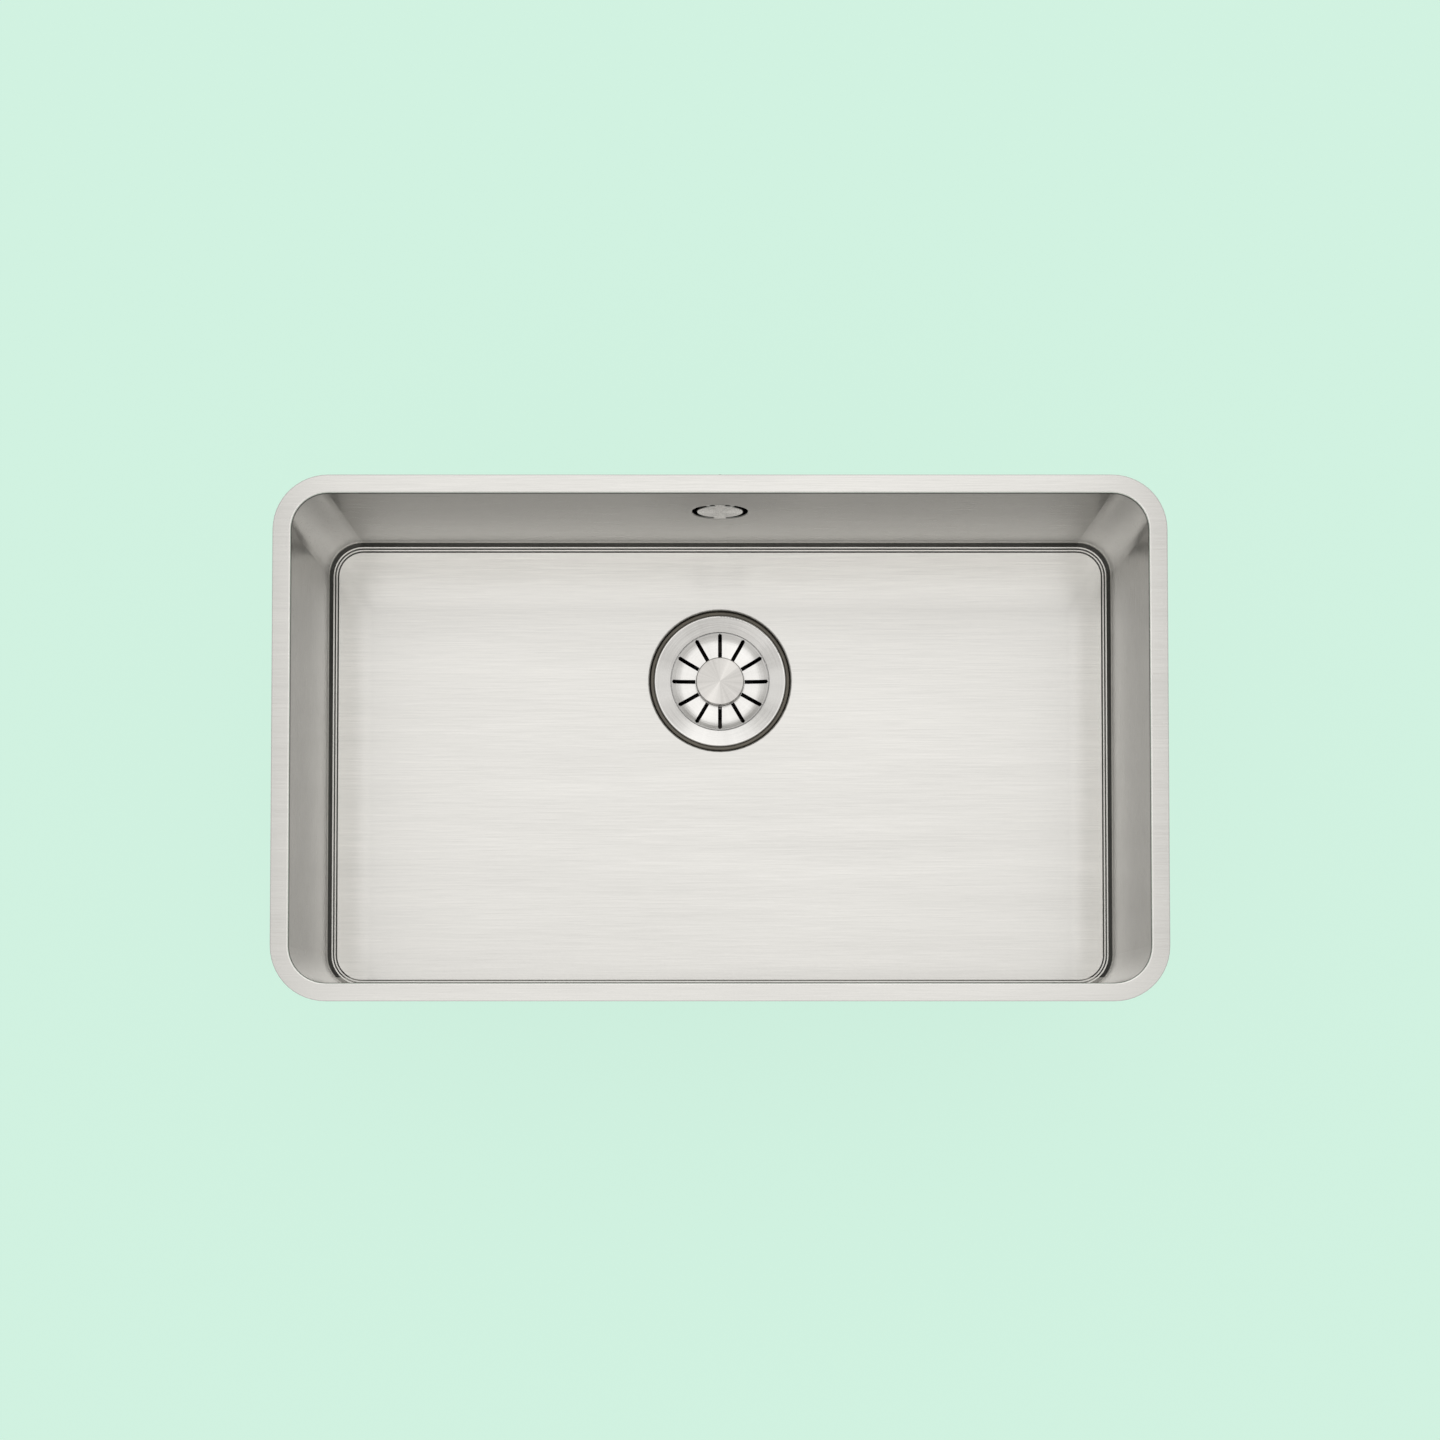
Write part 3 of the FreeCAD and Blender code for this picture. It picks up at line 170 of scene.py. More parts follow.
def scaled(tree: Tree, value: Link, factor: Any) -> Link:
    """Multiplies a vector or a colour by a number.

    Args:
        tree: The node tree.
        value: The vector or colour.
        factor: A link or a plain number.

    Returns:
        The product.
    """
    product = add(tree, "ShaderNodeVectorMath", {0: value, "Scale": factor}, operation="SCALE")
    return product.outputs["Vector"]


def split(tree: Tree, value: Link) -> bpy.types.NodeOutputs:
    """Takes a vector apart.

    Args:
        tree: The node tree.
        value: The vector.

    Returns:
        Its parts "X", "Y" and "Z".
    """
    return add(tree, "ShaderNodeSeparateXYZ", {0: value}).outputs


def ramp(tree: Tree, value: Link, start: Any, end: Any, low: Any = 0.0, high: Any = 1.0,
         smooth: bool = False) -> Link:
    """Maps one range onto another and stops at its ends.

    Args:
        tree: The node tree.
        value: What is mapped.
        start: Value that gives low.
        end: Value that gives high, above or below start.
        low: Result at the start.
        high: Result at the end.
        smooth: Eases in and out.

    Returns:
        The mapped value.
    """
    limits = {"Value": value, "From Min": start, "From Max": end, "To Min": low, "To Max": high}
    kind = "SMOOTHSTEP" if smooth else "LINEAR"
    return add(tree, "ShaderNodeMapRange", limits, interpolation_type=kind).outputs["Result"]


def spread(tree: Tree, value: Link, low: float, high: float) -> Link:
    """Maps the middle range of a noise, where most of it lies, onto another range.

    Args:
        tree: The material's tree.
        value: The pattern, about 0.3 to 0.7.
        low: Result at the pattern's low end.
        high: Result at the pattern's high end.

    Returns:
        The mapped value.
    """
    return ramp(tree, value, *NOISE_MIDDLE, low, high)


def shade(tree: Tree, factor: Link, dark: Any, light: Any) -> Link:
    """Mixes two colours by a pattern.

    Args:
        tree: The material's tree.
        factor: The pattern, 0 to 1.
        dark: Colour at 0.
        light: Colour at 1.

    Returns:
        The mixed colour.
    """
    return add(tree, "ShaderNodeMix", {0: factor, 6: dark, 7: light}, data_type="RGBA").outputs[2]


def streaks(tree: Tree, place: Link, pitch: Vector, detail: float = 2.0, fineness: float = 0.6) -> Link:
    """Noise with its own real pitch along each axis.

    Args:
        tree: The material's tree.
        place: Point in metres.
        pitch: Size of one streak along X, Y and Z, in metres.
        detail: Finer octaves on top.
        fineness: Share of each finer octave beside the one above it.

    Returns:
        The noise value.
    """
    stretched = vector(tree, "MULTIPLY", place, (1 / pitch.x, 1 / pitch.y, 1 / pitch.z))
    noise = {"Vector": stretched, "Scale": 1.0, "Detail": detail, "Roughness": fineness}
    return add(tree, "ShaderNodeTexNoise", noise).outputs["Fac"]


# ---------------------------------------------------------------- finishes
@dataclass(frozen=True)
class Finish:
    """What every finish shares: a name, a colour and how rough it is."""

    name: str
    colour: str
    roughness: float

    def material(self) -> bpy.types.Material:
        """Makes the finish's material the first time that it is asked for.

        Returns:
            The material.
        """
        known = bpy.data.materials.get(self.name)
        if known:
            return known
        made, tree = blank_material(self.name)
        place = add(tree, "ShaderNodeTexCoord").outputs["Object"]
        shader = add(tree, "ShaderNodeBsdfPrincipled", {"Base Color": linear(self.colour),
                                                        "Roughness": self.roughness})
        self.draw(tree, place, shader)
        add(tree, "ShaderNodeOutputMaterial", {"Surface": shader.outputs[0]})
        return made

    def draw(self, tree: Tree, place: Link, shader: bpy.types.Node) -> None:
        """Adds the finish's own pattern to the shader.

        Args:
            tree: The material's tree.
            place: Object coordinates in metres.
            shader: The surface shader.
        """


def relief(tree: Tree, shader: bpy.types.Node, height: Link, depth: float, strength: float = 1.0,
           normal: Optional[Link] = None) -> None:
    """Puts a pattern's height on the shader.

    Args:
        tree: The material's tree.
        shader: The surface shader.
        height: The pattern, 0 to 1.
        depth: Height of the pattern in metres.
        strength: Share of it that shows.
        normal: Way that the surface faces, where it isn't the mesh's own.
    """
    bump = add(tree, "ShaderNodeBump", {"Height": height, "Distance": depth, "Strength": strength})
    if normal:
        tree.links.new(normal, bump.inputs["Normal"])
    tree.links.new(bump.outputs[0], shader.inputs["Normal"])


@dataclass(frozen=True)
class BrushedSheet(Finish):
    """Stainless sheet, satin brushed along each panel: long fine lines that smear a light across them."""

    wall_roughness: float = 0.28     # the walls are brushed more coarsely than the flat panels
    rough_range: float = 0.12        # share by which the grain varies it
    grain_width: float = 0.95 * MM   # real grain is finer, drawn as coarse as the view can hold
    grain_length: float = 48 * MM
    grain_tones: tuple[float, float] = (0.89, 1.1)
    wall_grain: float = 0.3          # share of it that shows on the walls
    brush_turn: tuple[float, float] = (0.6, 0.8)     # share facing along X where the brush turns to Y
    haze_width: float = 26 * MM      # bands left by the width of the belt
    haze_length: float = 260 * MM
    haze_share: float = 0.25         # beside the grain
    groove: float = 0.004 * MM
    anisotropy: float = 0.65
    across: tuple[float, float] = (0.05, 1.0)     # Y and Z: up the walls, and front to rear on level panels
    draft: float = 4.0               # degrees
    panel: tuple[float, float] = (341.8 * MM, 191.8 * MM)     # half the floor panel's length and width
    floor_level: float = -180 * MM
    # Painted light on the floor's borders towards the end and rear walls:
    border_light_top: float = 12 * MM     # above the floor, where the painted light on the borders ends, at full strength to a third of that
    end_border: float = 30 * MM      # strip of the floor along each end wall that gets painted light
    end_painted_light: float = 1.65
    rear_border: float = 52 * MM
    rear_painted_light: float = 1.75
    # Painted light on the walls, and painted shade at the end walls' foot:
    wall_painted_light: float = 1.04
    end_wall_painted_shade: float = 0.84      # painted shade: the end walls darker than the others where they meet the floor
    end_wall_turn: tuple[float, float] = (0.8, 1.0)     # share facing along X where their painted shade sets in
    roll: float = 1.5 * MM           # depth of the rim's rolled edge that gets a painted highlight
    roll_turn: tuple[float, float] = (0.985, 0.93)     # share facing up where it begins
    roll_painted_highlight: float = 1.5
    slope_turn: tuple[float, float] = (0.9, 0.8)     # share facing up where a surface counts as sloping
    under_roll: tuple[float, float] = (1.05 * MM, 2.7 * MM)     # depths where the painted shade at the roll's foot is darkest
    under_roll_fade: tuple[float, float] = (0.3 * MM, 1.5 * MM)     # above and below them
    roll_foot_painted_shade: float = 0.3
    coving_height: float = 5.8 * MM  # slope and steps round the floor
    coving_fade: float = 0.8 * MM
    coving_margin: float = 0.2 * MM  # below the floor, past which the waste's recess begins
    front_margin: float = 2 * MM     # the front run of the coving gets no painted shade from here
    # painted shade in the slopes of the coving
    crease_painted_shade: float = 0.16
    outline: tuple[float, float] = (365 * MM, 215 * MM)       # half the flange's length and width
    outline_corner: float = 45 * MM
    # Painted shade: a dark line along the flange's cut outer edge:
    cut_edge: float = 0.9 * MM
    cut_edge_painted_shade: float = 0.6
    overflow: tuple[float, float, float] = (0, 200 * MM, -64 * MM)     # where its axis meets the rear wall
    overflow_radius: float = 23.8 * MM
    overflow_roll: tuple[float, float] = (0.2 * MM, 0.8 * MM)       # depths between which the painted shade behind its edge sets in
    # painted shade, near black, in the overflow's recess
    pocket_painted_shade: float = 0.08

    def draw(self, tree: Tree, place: Link, shader: bpy.types.Node) -> None:
        """Brushes flat panels and the front and rear walls along X, and the end walls along Y.

        Args:
            tree: The material's tree.
            place: Object coordinates in metres.
            shader: The surface shader.
        """
        normal = add(tree, "ShaderNodeNewGeometry").outputs["Normal"]
        facing = split(tree, normal)
        sideways = calc(tree, "ABSOLUTE", facing["X"])
        level = calc(tree, "ABSOLUTE", facing["Z"])
        grain = self.grain(tree, place, sideways, level)
        haze = streaks(tree, place, Vector((self.haze_length, self.haze_width, self.haze_width)), 1.0)
        tone = calc(tree, "MULTIPLY_ADD", haze, self.haze_share, grain)
        tone = spread(tree, calc(tree, "DIVIDE", tone, 1 + self.haze_share), 0.0, 1.0)
        brushed = shade(tree, tone, *(linear(self.colour, strength) for strength in self.grain_tones))
        # painted light and painted shade scale the brushed colour
        light_painted = scaled(tree, brushed, self.paint_light(tree, place, sideways, level))
        # painted shade scales the colour again
        tree.links.new(scaled(tree, light_painted, self.paint_shade(tree, place, level)), shader.inputs["Base Color"])
        rough = ramp(tree, level, 0.0, 1.0, self.wall_roughness, self.roughness)
        uneven = spread(tree, grain, 1 - self.rough_range, 1 + self.rough_range)
        tree.links.new(calc(tree, "MULTIPLY", rough, uneven), shader.inputs["Roughness"])
        shader.inputs["Metallic"].default_value = 1.0
        shader.inputs["Anisotropic"].default_value = self.anisotropy
        across = add(tree, "ShaderNodeCombineXYZ", {"Y": self.across[0], "Z": self.across[1]}).outputs[0]
        tree.links.new(across, shader.inputs["Tangent"])
        relief(tree, shader, grain, self.groove, normal=self.leaning(tree, place, normal, level))

    def leaning(self, tree: Tree, place: Link, normal: Link, level: Link) -> Link:
        """Leans the light on the inner walls outwards, by the draft that lets a pressed bowl off its die.

        Args:
            tree: The material's tree.
            place: Object coordinates in metres.
            normal: Way that the surface faces.
            level: One where the surface is level.

        Returns:
            The way that it faces with the draft.
        """
        outward = vector(tree, "MULTIPLY", place, (1, 1, 0))
        inner = calc(tree, "LESS_THAN", vector(tree, "DOT_PRODUCT", outward, normal), 0.0)
        lift = ramp(tree, level, 0.0, 1.0, math.tan(math.radians(self.draft)), 0.0)
        rise = add(tree, "ShaderNodeCombineXYZ", {"Z": calc(tree, "MULTIPLY", lift, inner)}).outputs[0]
        return vector(tree, "NORMALIZE", vector(tree, "ADD", normal, rise))

    def grain(self, tree: Tree, place: Link, sideways: Link, level: Link) -> Link:
        """Draws the brush's lines.

        Args:
            tree: The material's tree.
            place: Object coordinates in metres.
            sideways: One where the surface faces along X.
            level: One where the surface is level.

        Returns:
            The pattern, about 0.3 to 0.7.
        """
        on_end_wall = ramp(tree, sideways, *self.brush_turn, smooth=True)
        wide, long = self.grain_width, self.grain_length
        along_x = streaks(tree, place, Vector((long, wide, wide)), 4.0, 0.75)
        along_y = streaks(tree, place, Vector((wide, long, wide)), 4.0, 0.75)
        lines = add(tree, "ShaderNodeMix", {0: on_end_wall, 2: along_x, 3: along_y}).outputs[0]
        strength = ramp(tree, level, 0.0, 1.0, self.wall_grain, 1.0)
        return add(tree, "ShaderNodeMix", {0: strength, 2: 0.5, 3: lines}).outputs[0]

    def paint_light(self, tree: Tree, place: Link, sideways: Link, level: Link) -> Link:
        """Paints light and shade: brightens the walls, the floor towards the end and rear walls and the
        rim's roll, and darkens the end walls towards the floor.

        Args:
            tree: The material's tree.
            place: Object coordinates in metres.
            sideways: One where the surface faces along X.
            level: One where the surface is level.

        Returns:
            A factor on the colour.
        """
        spot = split(tree, place)
        # painted shade: the end walls darker towards the floor; painted light: all walls a little brighter
        end_wall = ramp(tree, spot["Z"], self.floor_level, 0.0, self.end_wall_painted_shade, 1.0)
        end_wall = ramp(tree, sideways, *self.end_wall_turn, 1.0, end_wall)
        walls = ramp(tree, level, 0.0, 1.0, self.wall_painted_light, 1.0)
        # painted highlight along the rim's rolled edge
        turned_over = ramp(tree, level, *self.roll_turn)
        near_top = ramp(tree, spot["Z"], -self.roll, -self.roll / 2)
        rim = ramp(tree, calc(tree, "MULTIPLY", turned_over, near_top), 0.0, 1.0, 1.0, self.roll_painted_highlight)
        shine = self.paint_border_light(tree, spot)
        for factor in (walls, end_wall, rim):
            shine = calc(tree, "MULTIPLY", shine, factor)
        return shine

    def paint_border_light(self, tree: Tree, spot: bpy.types.NodeOutputs) -> Link:
        """Paints light on the floor towards the end walls and the rear wall.

        Args:
            tree: The material's tree.
            spot: Object coordinates in metres, taken apart.

        Returns:
            A factor on the colour.
        """
        half_length, half_width = self.panel
        from_middle = calc(tree, "ABSOLUTE", spot["X"])
        # painted light: the floor brighter towards the end walls and the rear wall
        ends = ramp(tree, from_middle, half_length - self.end_border, half_length, 0.0, self.end_painted_light - 1)
        rear = ramp(tree, spot["Y"], half_width - self.rear_border, half_width, 0.0, self.rear_painted_light - 1)
        top = self.floor_level + self.border_light_top
        low = ramp(tree, spot["Z"], self.floor_level + self.border_light_top / 3, top, 1.0, 0.0)
        return calc(tree, "MULTIPLY_ADD", calc(tree, "MAXIMUM", ends, rear), low, 1.0)

    def paint_shade(self, tree: Tree, place: Link, level: Link) -> Link:
        """Paints shade on the pressed steps' slopes, the foot of the roll, the cut edge and the overflow's
        recess.

        Args:
            tree: The material's tree.
            place: Object coordinates in metres.
            level: One where the surface is level.

        Returns:
            A factor on the colour.
        """
        spot = split(tree, place)
        sloping = ramp(tree, level, *self.slope_turn)
        marks = ((self.creases(tree, spot, sloping), self.crease_painted_shade),
                 (self.roll_foot(tree, spot["Z"], sloping), self.roll_foot_painted_shade),
                 (self.cut_line(tree, place), self.cut_edge_painted_shade),
                 (self.pocket(tree, place), self.pocket_painted_shade))
        unshaded = 1.0
        for mark, left in marks:
            unshaded = calc(tree, "MULTIPLY", ramp(tree, mark, 0.0, 1.0, 1.0, left), unshaded)
        return unshaded

    def creases(self, tree: Tree, spot: bpy.types.NodeOutputs, sloping: Link) -> Link:
        """Marks the slopes of the coving on all sides but the front, where painted shade goes.

        Args:
            tree: The material's tree.
            spot: Object coordinates in metres, taken apart.
            sloping: One where the surface isn't level.

        Returns:
            One on the slopes.
        """
        top = self.floor_level + self.coving_height
        crease = calc(tree, "MULTIPLY", sloping, ramp(tree, spot["Z"], top + self.coving_fade, top))
        above_recess = calc(tree, "GREATER_THAN", spot["Z"], self.floor_level - self.coving_margin)
        crease = calc(tree, "MULTIPLY", crease, above_recess)
        not_front = calc(tree, "GREATER_THAN", spot["Y"], self.front_margin - self.panel[1])
        return calc(tree, "MULTIPLY", crease, not_front)

    def roll_foot(self, tree: Tree, height: Link, sloping: Link) -> Link:
        """Marks the foot of the rim's roll, where the flange turns into the wall, for a line of painted
        shade.

        Args:
            tree: The material's tree.
            height: Height above the flange in metres.
            sloping: One where the surface isn't level.

        Returns:
            One along the foot.
        """
        upper, lower = self.under_roll
        fade_above, fade_below = self.under_roll_fade
        below = ramp(tree, height, -(lower + fade_below), -lower)
        above = ramp(tree, height, fade_above - upper, -upper)
        return calc(tree, "MULTIPLY", calc(tree, "MULTIPLY", below, above), sloping)

    def cut_line(self, tree: Tree, place: Link) -> Link:
        """Marks the sheet's cut edge round the flange's rounded outline, for a line of painted shade.

        Args:
            tree: The material's tree.
            place: Object coordinates in metres.

        Returns:
            One at the edge.
        """
        corner_x, corner_y = (half - self.outline_corner for half in self.outline)
        spot = vector(tree, "ABSOLUTE", vector(tree, "MULTIPLY", place, (1, 1, 0)))
        spot = vector(tree, "SUBTRACT", spot, (corner_x, corner_y, 0))
        reach = vector(tree, "LENGTH", vector(tree, "MAXIMUM", spot, (0, 0, 0)))
        return ramp(tree, reach, self.outline_corner - self.cut_edge, self.outline_corner)

    def pocket(self, tree: Tree, place: Link) -> Link:
        """Marks the overflow's recess behind its rolled edge, which gets painted shade.

        Args:
            tree: The material's tree.
            place: Object coordinates in metres.

        Returns:
            One inside the recess.
        """
        offset = vector(tree, "SUBTRACT", place, self.overflow)
        radius = vector(tree, "LENGTH", vector(tree, "MULTIPLY", offset, (1, 0, 1)))
        within = calc(tree, "LESS_THAN", radius, self.overflow_radius)
        behind = ramp(tree, split(tree, offset)["Y"], *self.overflow_roll)
        return calc(tree, "MULTIPLY", within, behind)


@dataclass(frozen=True)
class TurnedMetal(Finish):
    """Metal spun or turned on a lathe: fine rings round the axis, and a painted highlight of bright streaks
    out from it.
    """

    centre: Vector = field(default_factory=Vector)
    axis: Axis = Axis.UPRIGHT
    ring_pitch: float = 0.9 * MM     # real tool marks are finer, drawn as coarse as the view can hold
    ring_tones: tuple[float, float] = (0.94, 1.05)
    rough_range: tuple[float, float] = (-0.03, 0.04)
    groove: float = 0.012 * MM
    anisotropy: float = 0.6
    hollow: float = 0.0              # degrees by which the face dips towards the axis
    lean: float = 0.0                # degrees by which the whole face dips towards the front
    # A painted highlight of bright streaks out from the axis:
    painted_ray_line: float = 62.0           # degrees: way out from the axis where the painted highlight is strongest
    painted_ray_sharpness: float = 10.0
    painted_ray_density: float = 5.0         # painted highlight streaks over a span as long as the radius
    painted_ray_strength: float = 0.08

    def draw(self, tree: Tree, place: Link, shader: bpy.types.Node) -> None:
        """Draws rings round the axis, paints a highlight of bright streaks out from it, and turns the shine
        to follow the rings.

        Args:
            tree: The material's tree.
            place: Object coordinates in metres.
            shader: The surface shader.
        """
        across_axis = (1, 1, 0) if self.axis is Axis.UPRIGHT else (1, 0, 1)
        outward = vector(tree, "MULTIPLY", vector(tree, "SUBTRACT", place, self.centre), across_axis)
        radius = vector(tree, "LENGTH", outward)
        direction = vector(tree, "NORMALIZE", outward)
        line = add(tree, "ShaderNodeCombineXYZ", {"X": calc(tree, "DIVIDE", radius, self.ring_pitch),
                                                  "Y": split(tree, direction)["X"]}).outputs[0]
        rings = add(tree, "ShaderNodeTexNoise", {"Vector": line, "Scale": 1.0, "Detail": 2.0,
                                                 "Roughness": 0.6}).outputs["Fac"]
        tones = (linear(self.colour, strength) for strength in self.ring_tones)
        bare = shade(tree, spread(tree, rings, 0.0, 1.0), *tones)
        # painted highlight: bright streaks out from the axis
        highlighted = scaled(tree, bare, self.paint_ray_highlight(tree, direction))
        tree.links.new(self.tint(tree, place, radius, highlighted), shader.inputs["Base Color"])
        smoother, rougher = (self.roughness + change for change in self.rough_range)
        tree.links.new(spread(tree, rings, smoother, rougher), shader.inputs["Roughness"])
        shader.inputs["Metallic"].default_value = 1.0
        shader.inputs["Anisotropic"].default_value = self.anisotropy
        tree.links.new(outward, shader.inputs["Tangent"])
        relief(tree, shader, rings, self.groove, normal=self.hollowed(tree, direction))

    def paint_ray_highlight(self, tree: Tree, direction: Link) -> Link:
        """Paints a highlight: fine bright streaks spreading out from the axis, strongest along one line.

        Args:
            tree: The material's tree.
            direction: Way out from the axis.

        Returns:
            A factor on the colour.
        """
        line = math.radians(self.painted_ray_line)
        upright = self.axis is Axis.UPRIGHT
        towards = (math.cos(line), math.sin(line), 0) if upright else (math.cos(line), 0, math.sin(line))
        near = calc(tree, "POWER", vector(tree, "DOT_PRODUCT", direction, towards), self.painted_ray_sharpness)
        fan = add(tree, "ShaderNodeTexNoise", {"Vector": direction, "Scale": self.painted_ray_density, "Detail": 3.0,
                                               "Roughness": 0.7}).outputs["Fac"]
        fan = spread(tree, fan, 1 - self.painted_ray_strength / 2, 1 + self.painted_ray_strength / 2)
        return calc(tree, "MULTIPLY_ADD", near, self.painted_ray_strength, fan)

    def hollowed(self, tree: Tree, direction: Link) -> Link:
        """Dips the light on the face, as spinning over a former hollows it and its seal seats it.

        Args:
            tree: The material's tree.
            direction: Way out from the axis.

        Returns:
            The way that the surface faces with the hollow and the lean.
        """
        normal = add(tree, "ShaderNodeNewGeometry").outputs["Normal"]
        inward = scaled(tree, direction, -math.tan(math.radians(self.hollow)))
        forward = (0, -math.tan(math.radians(self.lean)), 0)
        dipped = vector(tree, "ADD", vector(tree, "ADD", normal, inward), forward)
        return vector(tree, "NORMALIZE", dipped)

    def tint(self, tree: Tree, place: Link, radius: Link, bare: Link) -> Link:
        """Colours the parts of the piece unlike the rest, where the cup and the dish paint shade.

        Args:
            tree: The material's tree.
            place: Object coordinates in metres.
            radius: Distance from the axis in metres.
            bare: Colour of the turned face.

        Returns:
            The colour of the whole piece.
        """
        return bare


@dataclass(frozen=True)
class SpunCup(TurnedMetal):
    """Spun flange over a deep-drawn cup, with painted shade inside the cup below its shoulder."""

    # Painted shade: the inside of the cup near black below this level
    cup_shade_level: float = -188 * MM
    cup_shade_fade: float = 3 * MM
    cup_shade_colour: str = "#211F1D"

    def tint(self, tree: Tree, place: Link, radius: Link, bare: Link) -> Link:
        """Paints shade in the cup below its shoulder."""
        inside = ramp(tree, split(tree, place)["Z"], self.cup_shade_level, self.cup_shade_level - self.cup_shade_fade)
        return shade(tree, inside, bare, linear(self.cup_shade_colour))


@dataclass(frozen=True)
class PunchedDish(TurnedMetal):
    """Spun dish with punched slots: painted shade on the walls of the slots, on the sheet beside them and
    along the dish's rim.
    """

    # painted shade in and beside the slots and along the rim
    slot_shade_colour: str = "#141313"
    wall_turn: tuple[float, float] = (0.5, 0.3)     # share facing up where a slot's wall begins
    rim: float = 43 * MM             # the slots end inside this radius
    rim_line: float = 0.6 * MM
    rim_painted_shade: float = 0.7
    slots: int = 12
    slot_reach: float = 22.2 * MM    # where they begin
    slot_margin: float = 0.8 * MM    # where they end, inside the rim
    slot_shade_reach: float = 1.75 * MM      # from a slot's middle line to the edge of the painted shade beside it

    def tint(self, tree: Tree, place: Link, radius: Link, bare: Link) -> Link:
        """Paints shade on the slots' upright walls and the sheet beside them, and on the line between dish
        and flange.

        Args:
            tree: The material's tree.
            place: Object coordinates in metres.
            radius: Distance from the axis in metres.
            bare: Colour of the turned face.

        Returns:
            The colour of the whole piece.
        """
        normal = add(tree, "ShaderNodeNewGeometry").outputs["Normal"]
        upright = ramp(tree, split(tree, normal)["Z"], *self.wall_turn)
        shaded = calc(tree, "MULTIPLY", upright, calc(tree, "LESS_THAN", radius, self.rim))
        shaded = calc(tree, "MAXIMUM", shaded, self.slot_sides(tree, place, radius))
        edge = ramp(tree, radius, self.rim, self.rim + self.rim_line, 0.0, self.rim_painted_shade)
        return shade(tree, calc(tree, "MAXIMUM", shaded, edge), bare, linear(self.slot_shade_colour))

    def slot_sides(self, tree: Tree, place: Link, radius: Link) -> Link:
        """Marks the sheet beside each slot, which gets painted shade that widens the slot.

        Args:
            tree: The material's tree.
            place: Object coordinates in metres.
            radius: Distance from the axis in metres.

        Returns:
            One beside the slots.
        """
        spot = split(tree, vector(tree, "SUBTRACT", place, self.centre))
        spacing = math.tau / self.slots
        turn = calc(tree, "PINGPONG", calc(tree, "ARCTAN2", spot["Y"], spot["X"]), spacing)
        nearer = calc(tree, "MINIMUM", turn, calc(tree, "SUBTRACT", spacing, turn))
        offset = calc(tree, "MULTIPLY", calc(tree, "SINE", nearer), radius)
        beside = calc(tree, "LESS_THAN", offset, self.slot_shade_reach)
        outside = calc(tree, "GREATER_THAN", radius, self.slot_reach)
        inside = calc(tree, "LESS_THAN", radius, self.rim - self.slot_margin)
        return calc(tree, "MULTIPLY", calc(tree, "MULTIPLY", beside, outside), inside)


@dataclass(frozen=True)
class Moulded(Finish):
    """Injection-moulded plastic: an even satin skin with the faint grain of its mould."""

    texture: float = 1.2 * MM        # spark-eroded mould grain, drawn coarser than life
    depth: float = 0.02 * MM
    cloud: float = 35 * MM
    cloud_tones: tuple[float, float] = (0.93, 1.05)
    rough_range: tuple[float, float] = (-0.04, 0.05)

    def draw(self, tree: Tree, place: Link, shader: bpy.types.Node) -> None:
        """Gives the skin its grain and a slight cloudiness.

        Args:
            tree: The material's tree.
            place: Object coordinates in metres.
            shader: The surface shader.
        """
        grain = streaks(tree, place, Vector((self.texture,) * 3), 3.0)
        cloud = streaks(tree, place, Vector((self.cloud,) * 3), 1.0)
        tones = (linear(self.colour, strength) for strength in self.cloud_tones)
        tree.links.new(shade(tree, spread(tree, cloud, 0.0, 1.0), *tones), shader.inputs["Base Color"])
        smoother, rougher = (self.roughness + change for change in self.rough_range)
        tree.links.new(spread(tree, grain, smoother, rougher), shader.inputs["Roughness"])
        relief(tree, shader, grain, self.depth)


@dataclass(frozen=True)
class Rubber(Finish):
    """Cured rubber: matt, slightly dusty, with a fine pebbled face where it was pressed."""

    pebble: float = 1.6 * MM
    depth: float = 0.12 * MM
    pebble_share: float = 0.6        # of the relief left after washing
    dust: float = 28 * MM            # width of a dusty patch
    dust_tones: tuple[float, float] = (0.8, 1.25)
    rough_range: tuple[float, float] = (-0.08, 0.06)

    def draw(self, tree: Tree, place: Link, shader: bpy.types.Node) -> None:
        """Pebbles the face and dusts its high spots.

        Args:
            tree: The material's tree.
            place: Object coordinates in metres.
            shader: The surface shader.
        """
        cells = add(tree, "ShaderNodeTexVoronoi", {"Vector": place, "Scale": 1 / self.pebble},
                    feature="SMOOTH_F1").outputs["Distance"]
        dust = streaks(tree, place, Vector((self.dust,) * 3), 4.0)
        tones = (linear(self.colour, strength) for strength in self.dust_tones)
        tree.links.new(shade(tree, spread(tree, dust, 0.0, 1.0), *tones), shader.inputs["Base Color"])
        smoother, rougher = (self.roughness + change for change in self.rough_range)
        tree.links.new(spread(tree, dust, smoother, rougher), shader.inputs["Roughness"])
        relief(tree, shader, cells, self.depth, self.pebble_share)


def dress(finish: Finish, *nodes: str) -> None:
    """Gives carried-over nodes a finish in place of the material they came with.

    Args:
        finish: What the nodes are made of.
        nodes: Names of the nodes.
    """
    for name in nodes:
        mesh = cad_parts[name].data
        mesh.materials.clear()
        mesh.materials.append(finish.material())
        LOG.info("%s: %s", name, finish.name)


def axis_of(node: str) -> Vector:
    """Middle of a node's box, which lies on the axis of a turned piece."""
    low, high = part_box(node)
    return (low + high) / 2


# Polypropylene is moulded in a spark-eroded tool: an even satin skin without a clear reflection.
PALE_PLASTIC = Moulded("polypropylene_moulded", "#D3D4D2", 0.42)
NUT_PLASTIC = Moulded("polypropylene_nut_moulded", "#46484B", 0.46)
# Acetal is denser and slicker, so its black shows a tight soft shine.
BLACK_PLASTIC = Moulded("acetal_black_moulded", "#1A1A1B", 0.38)
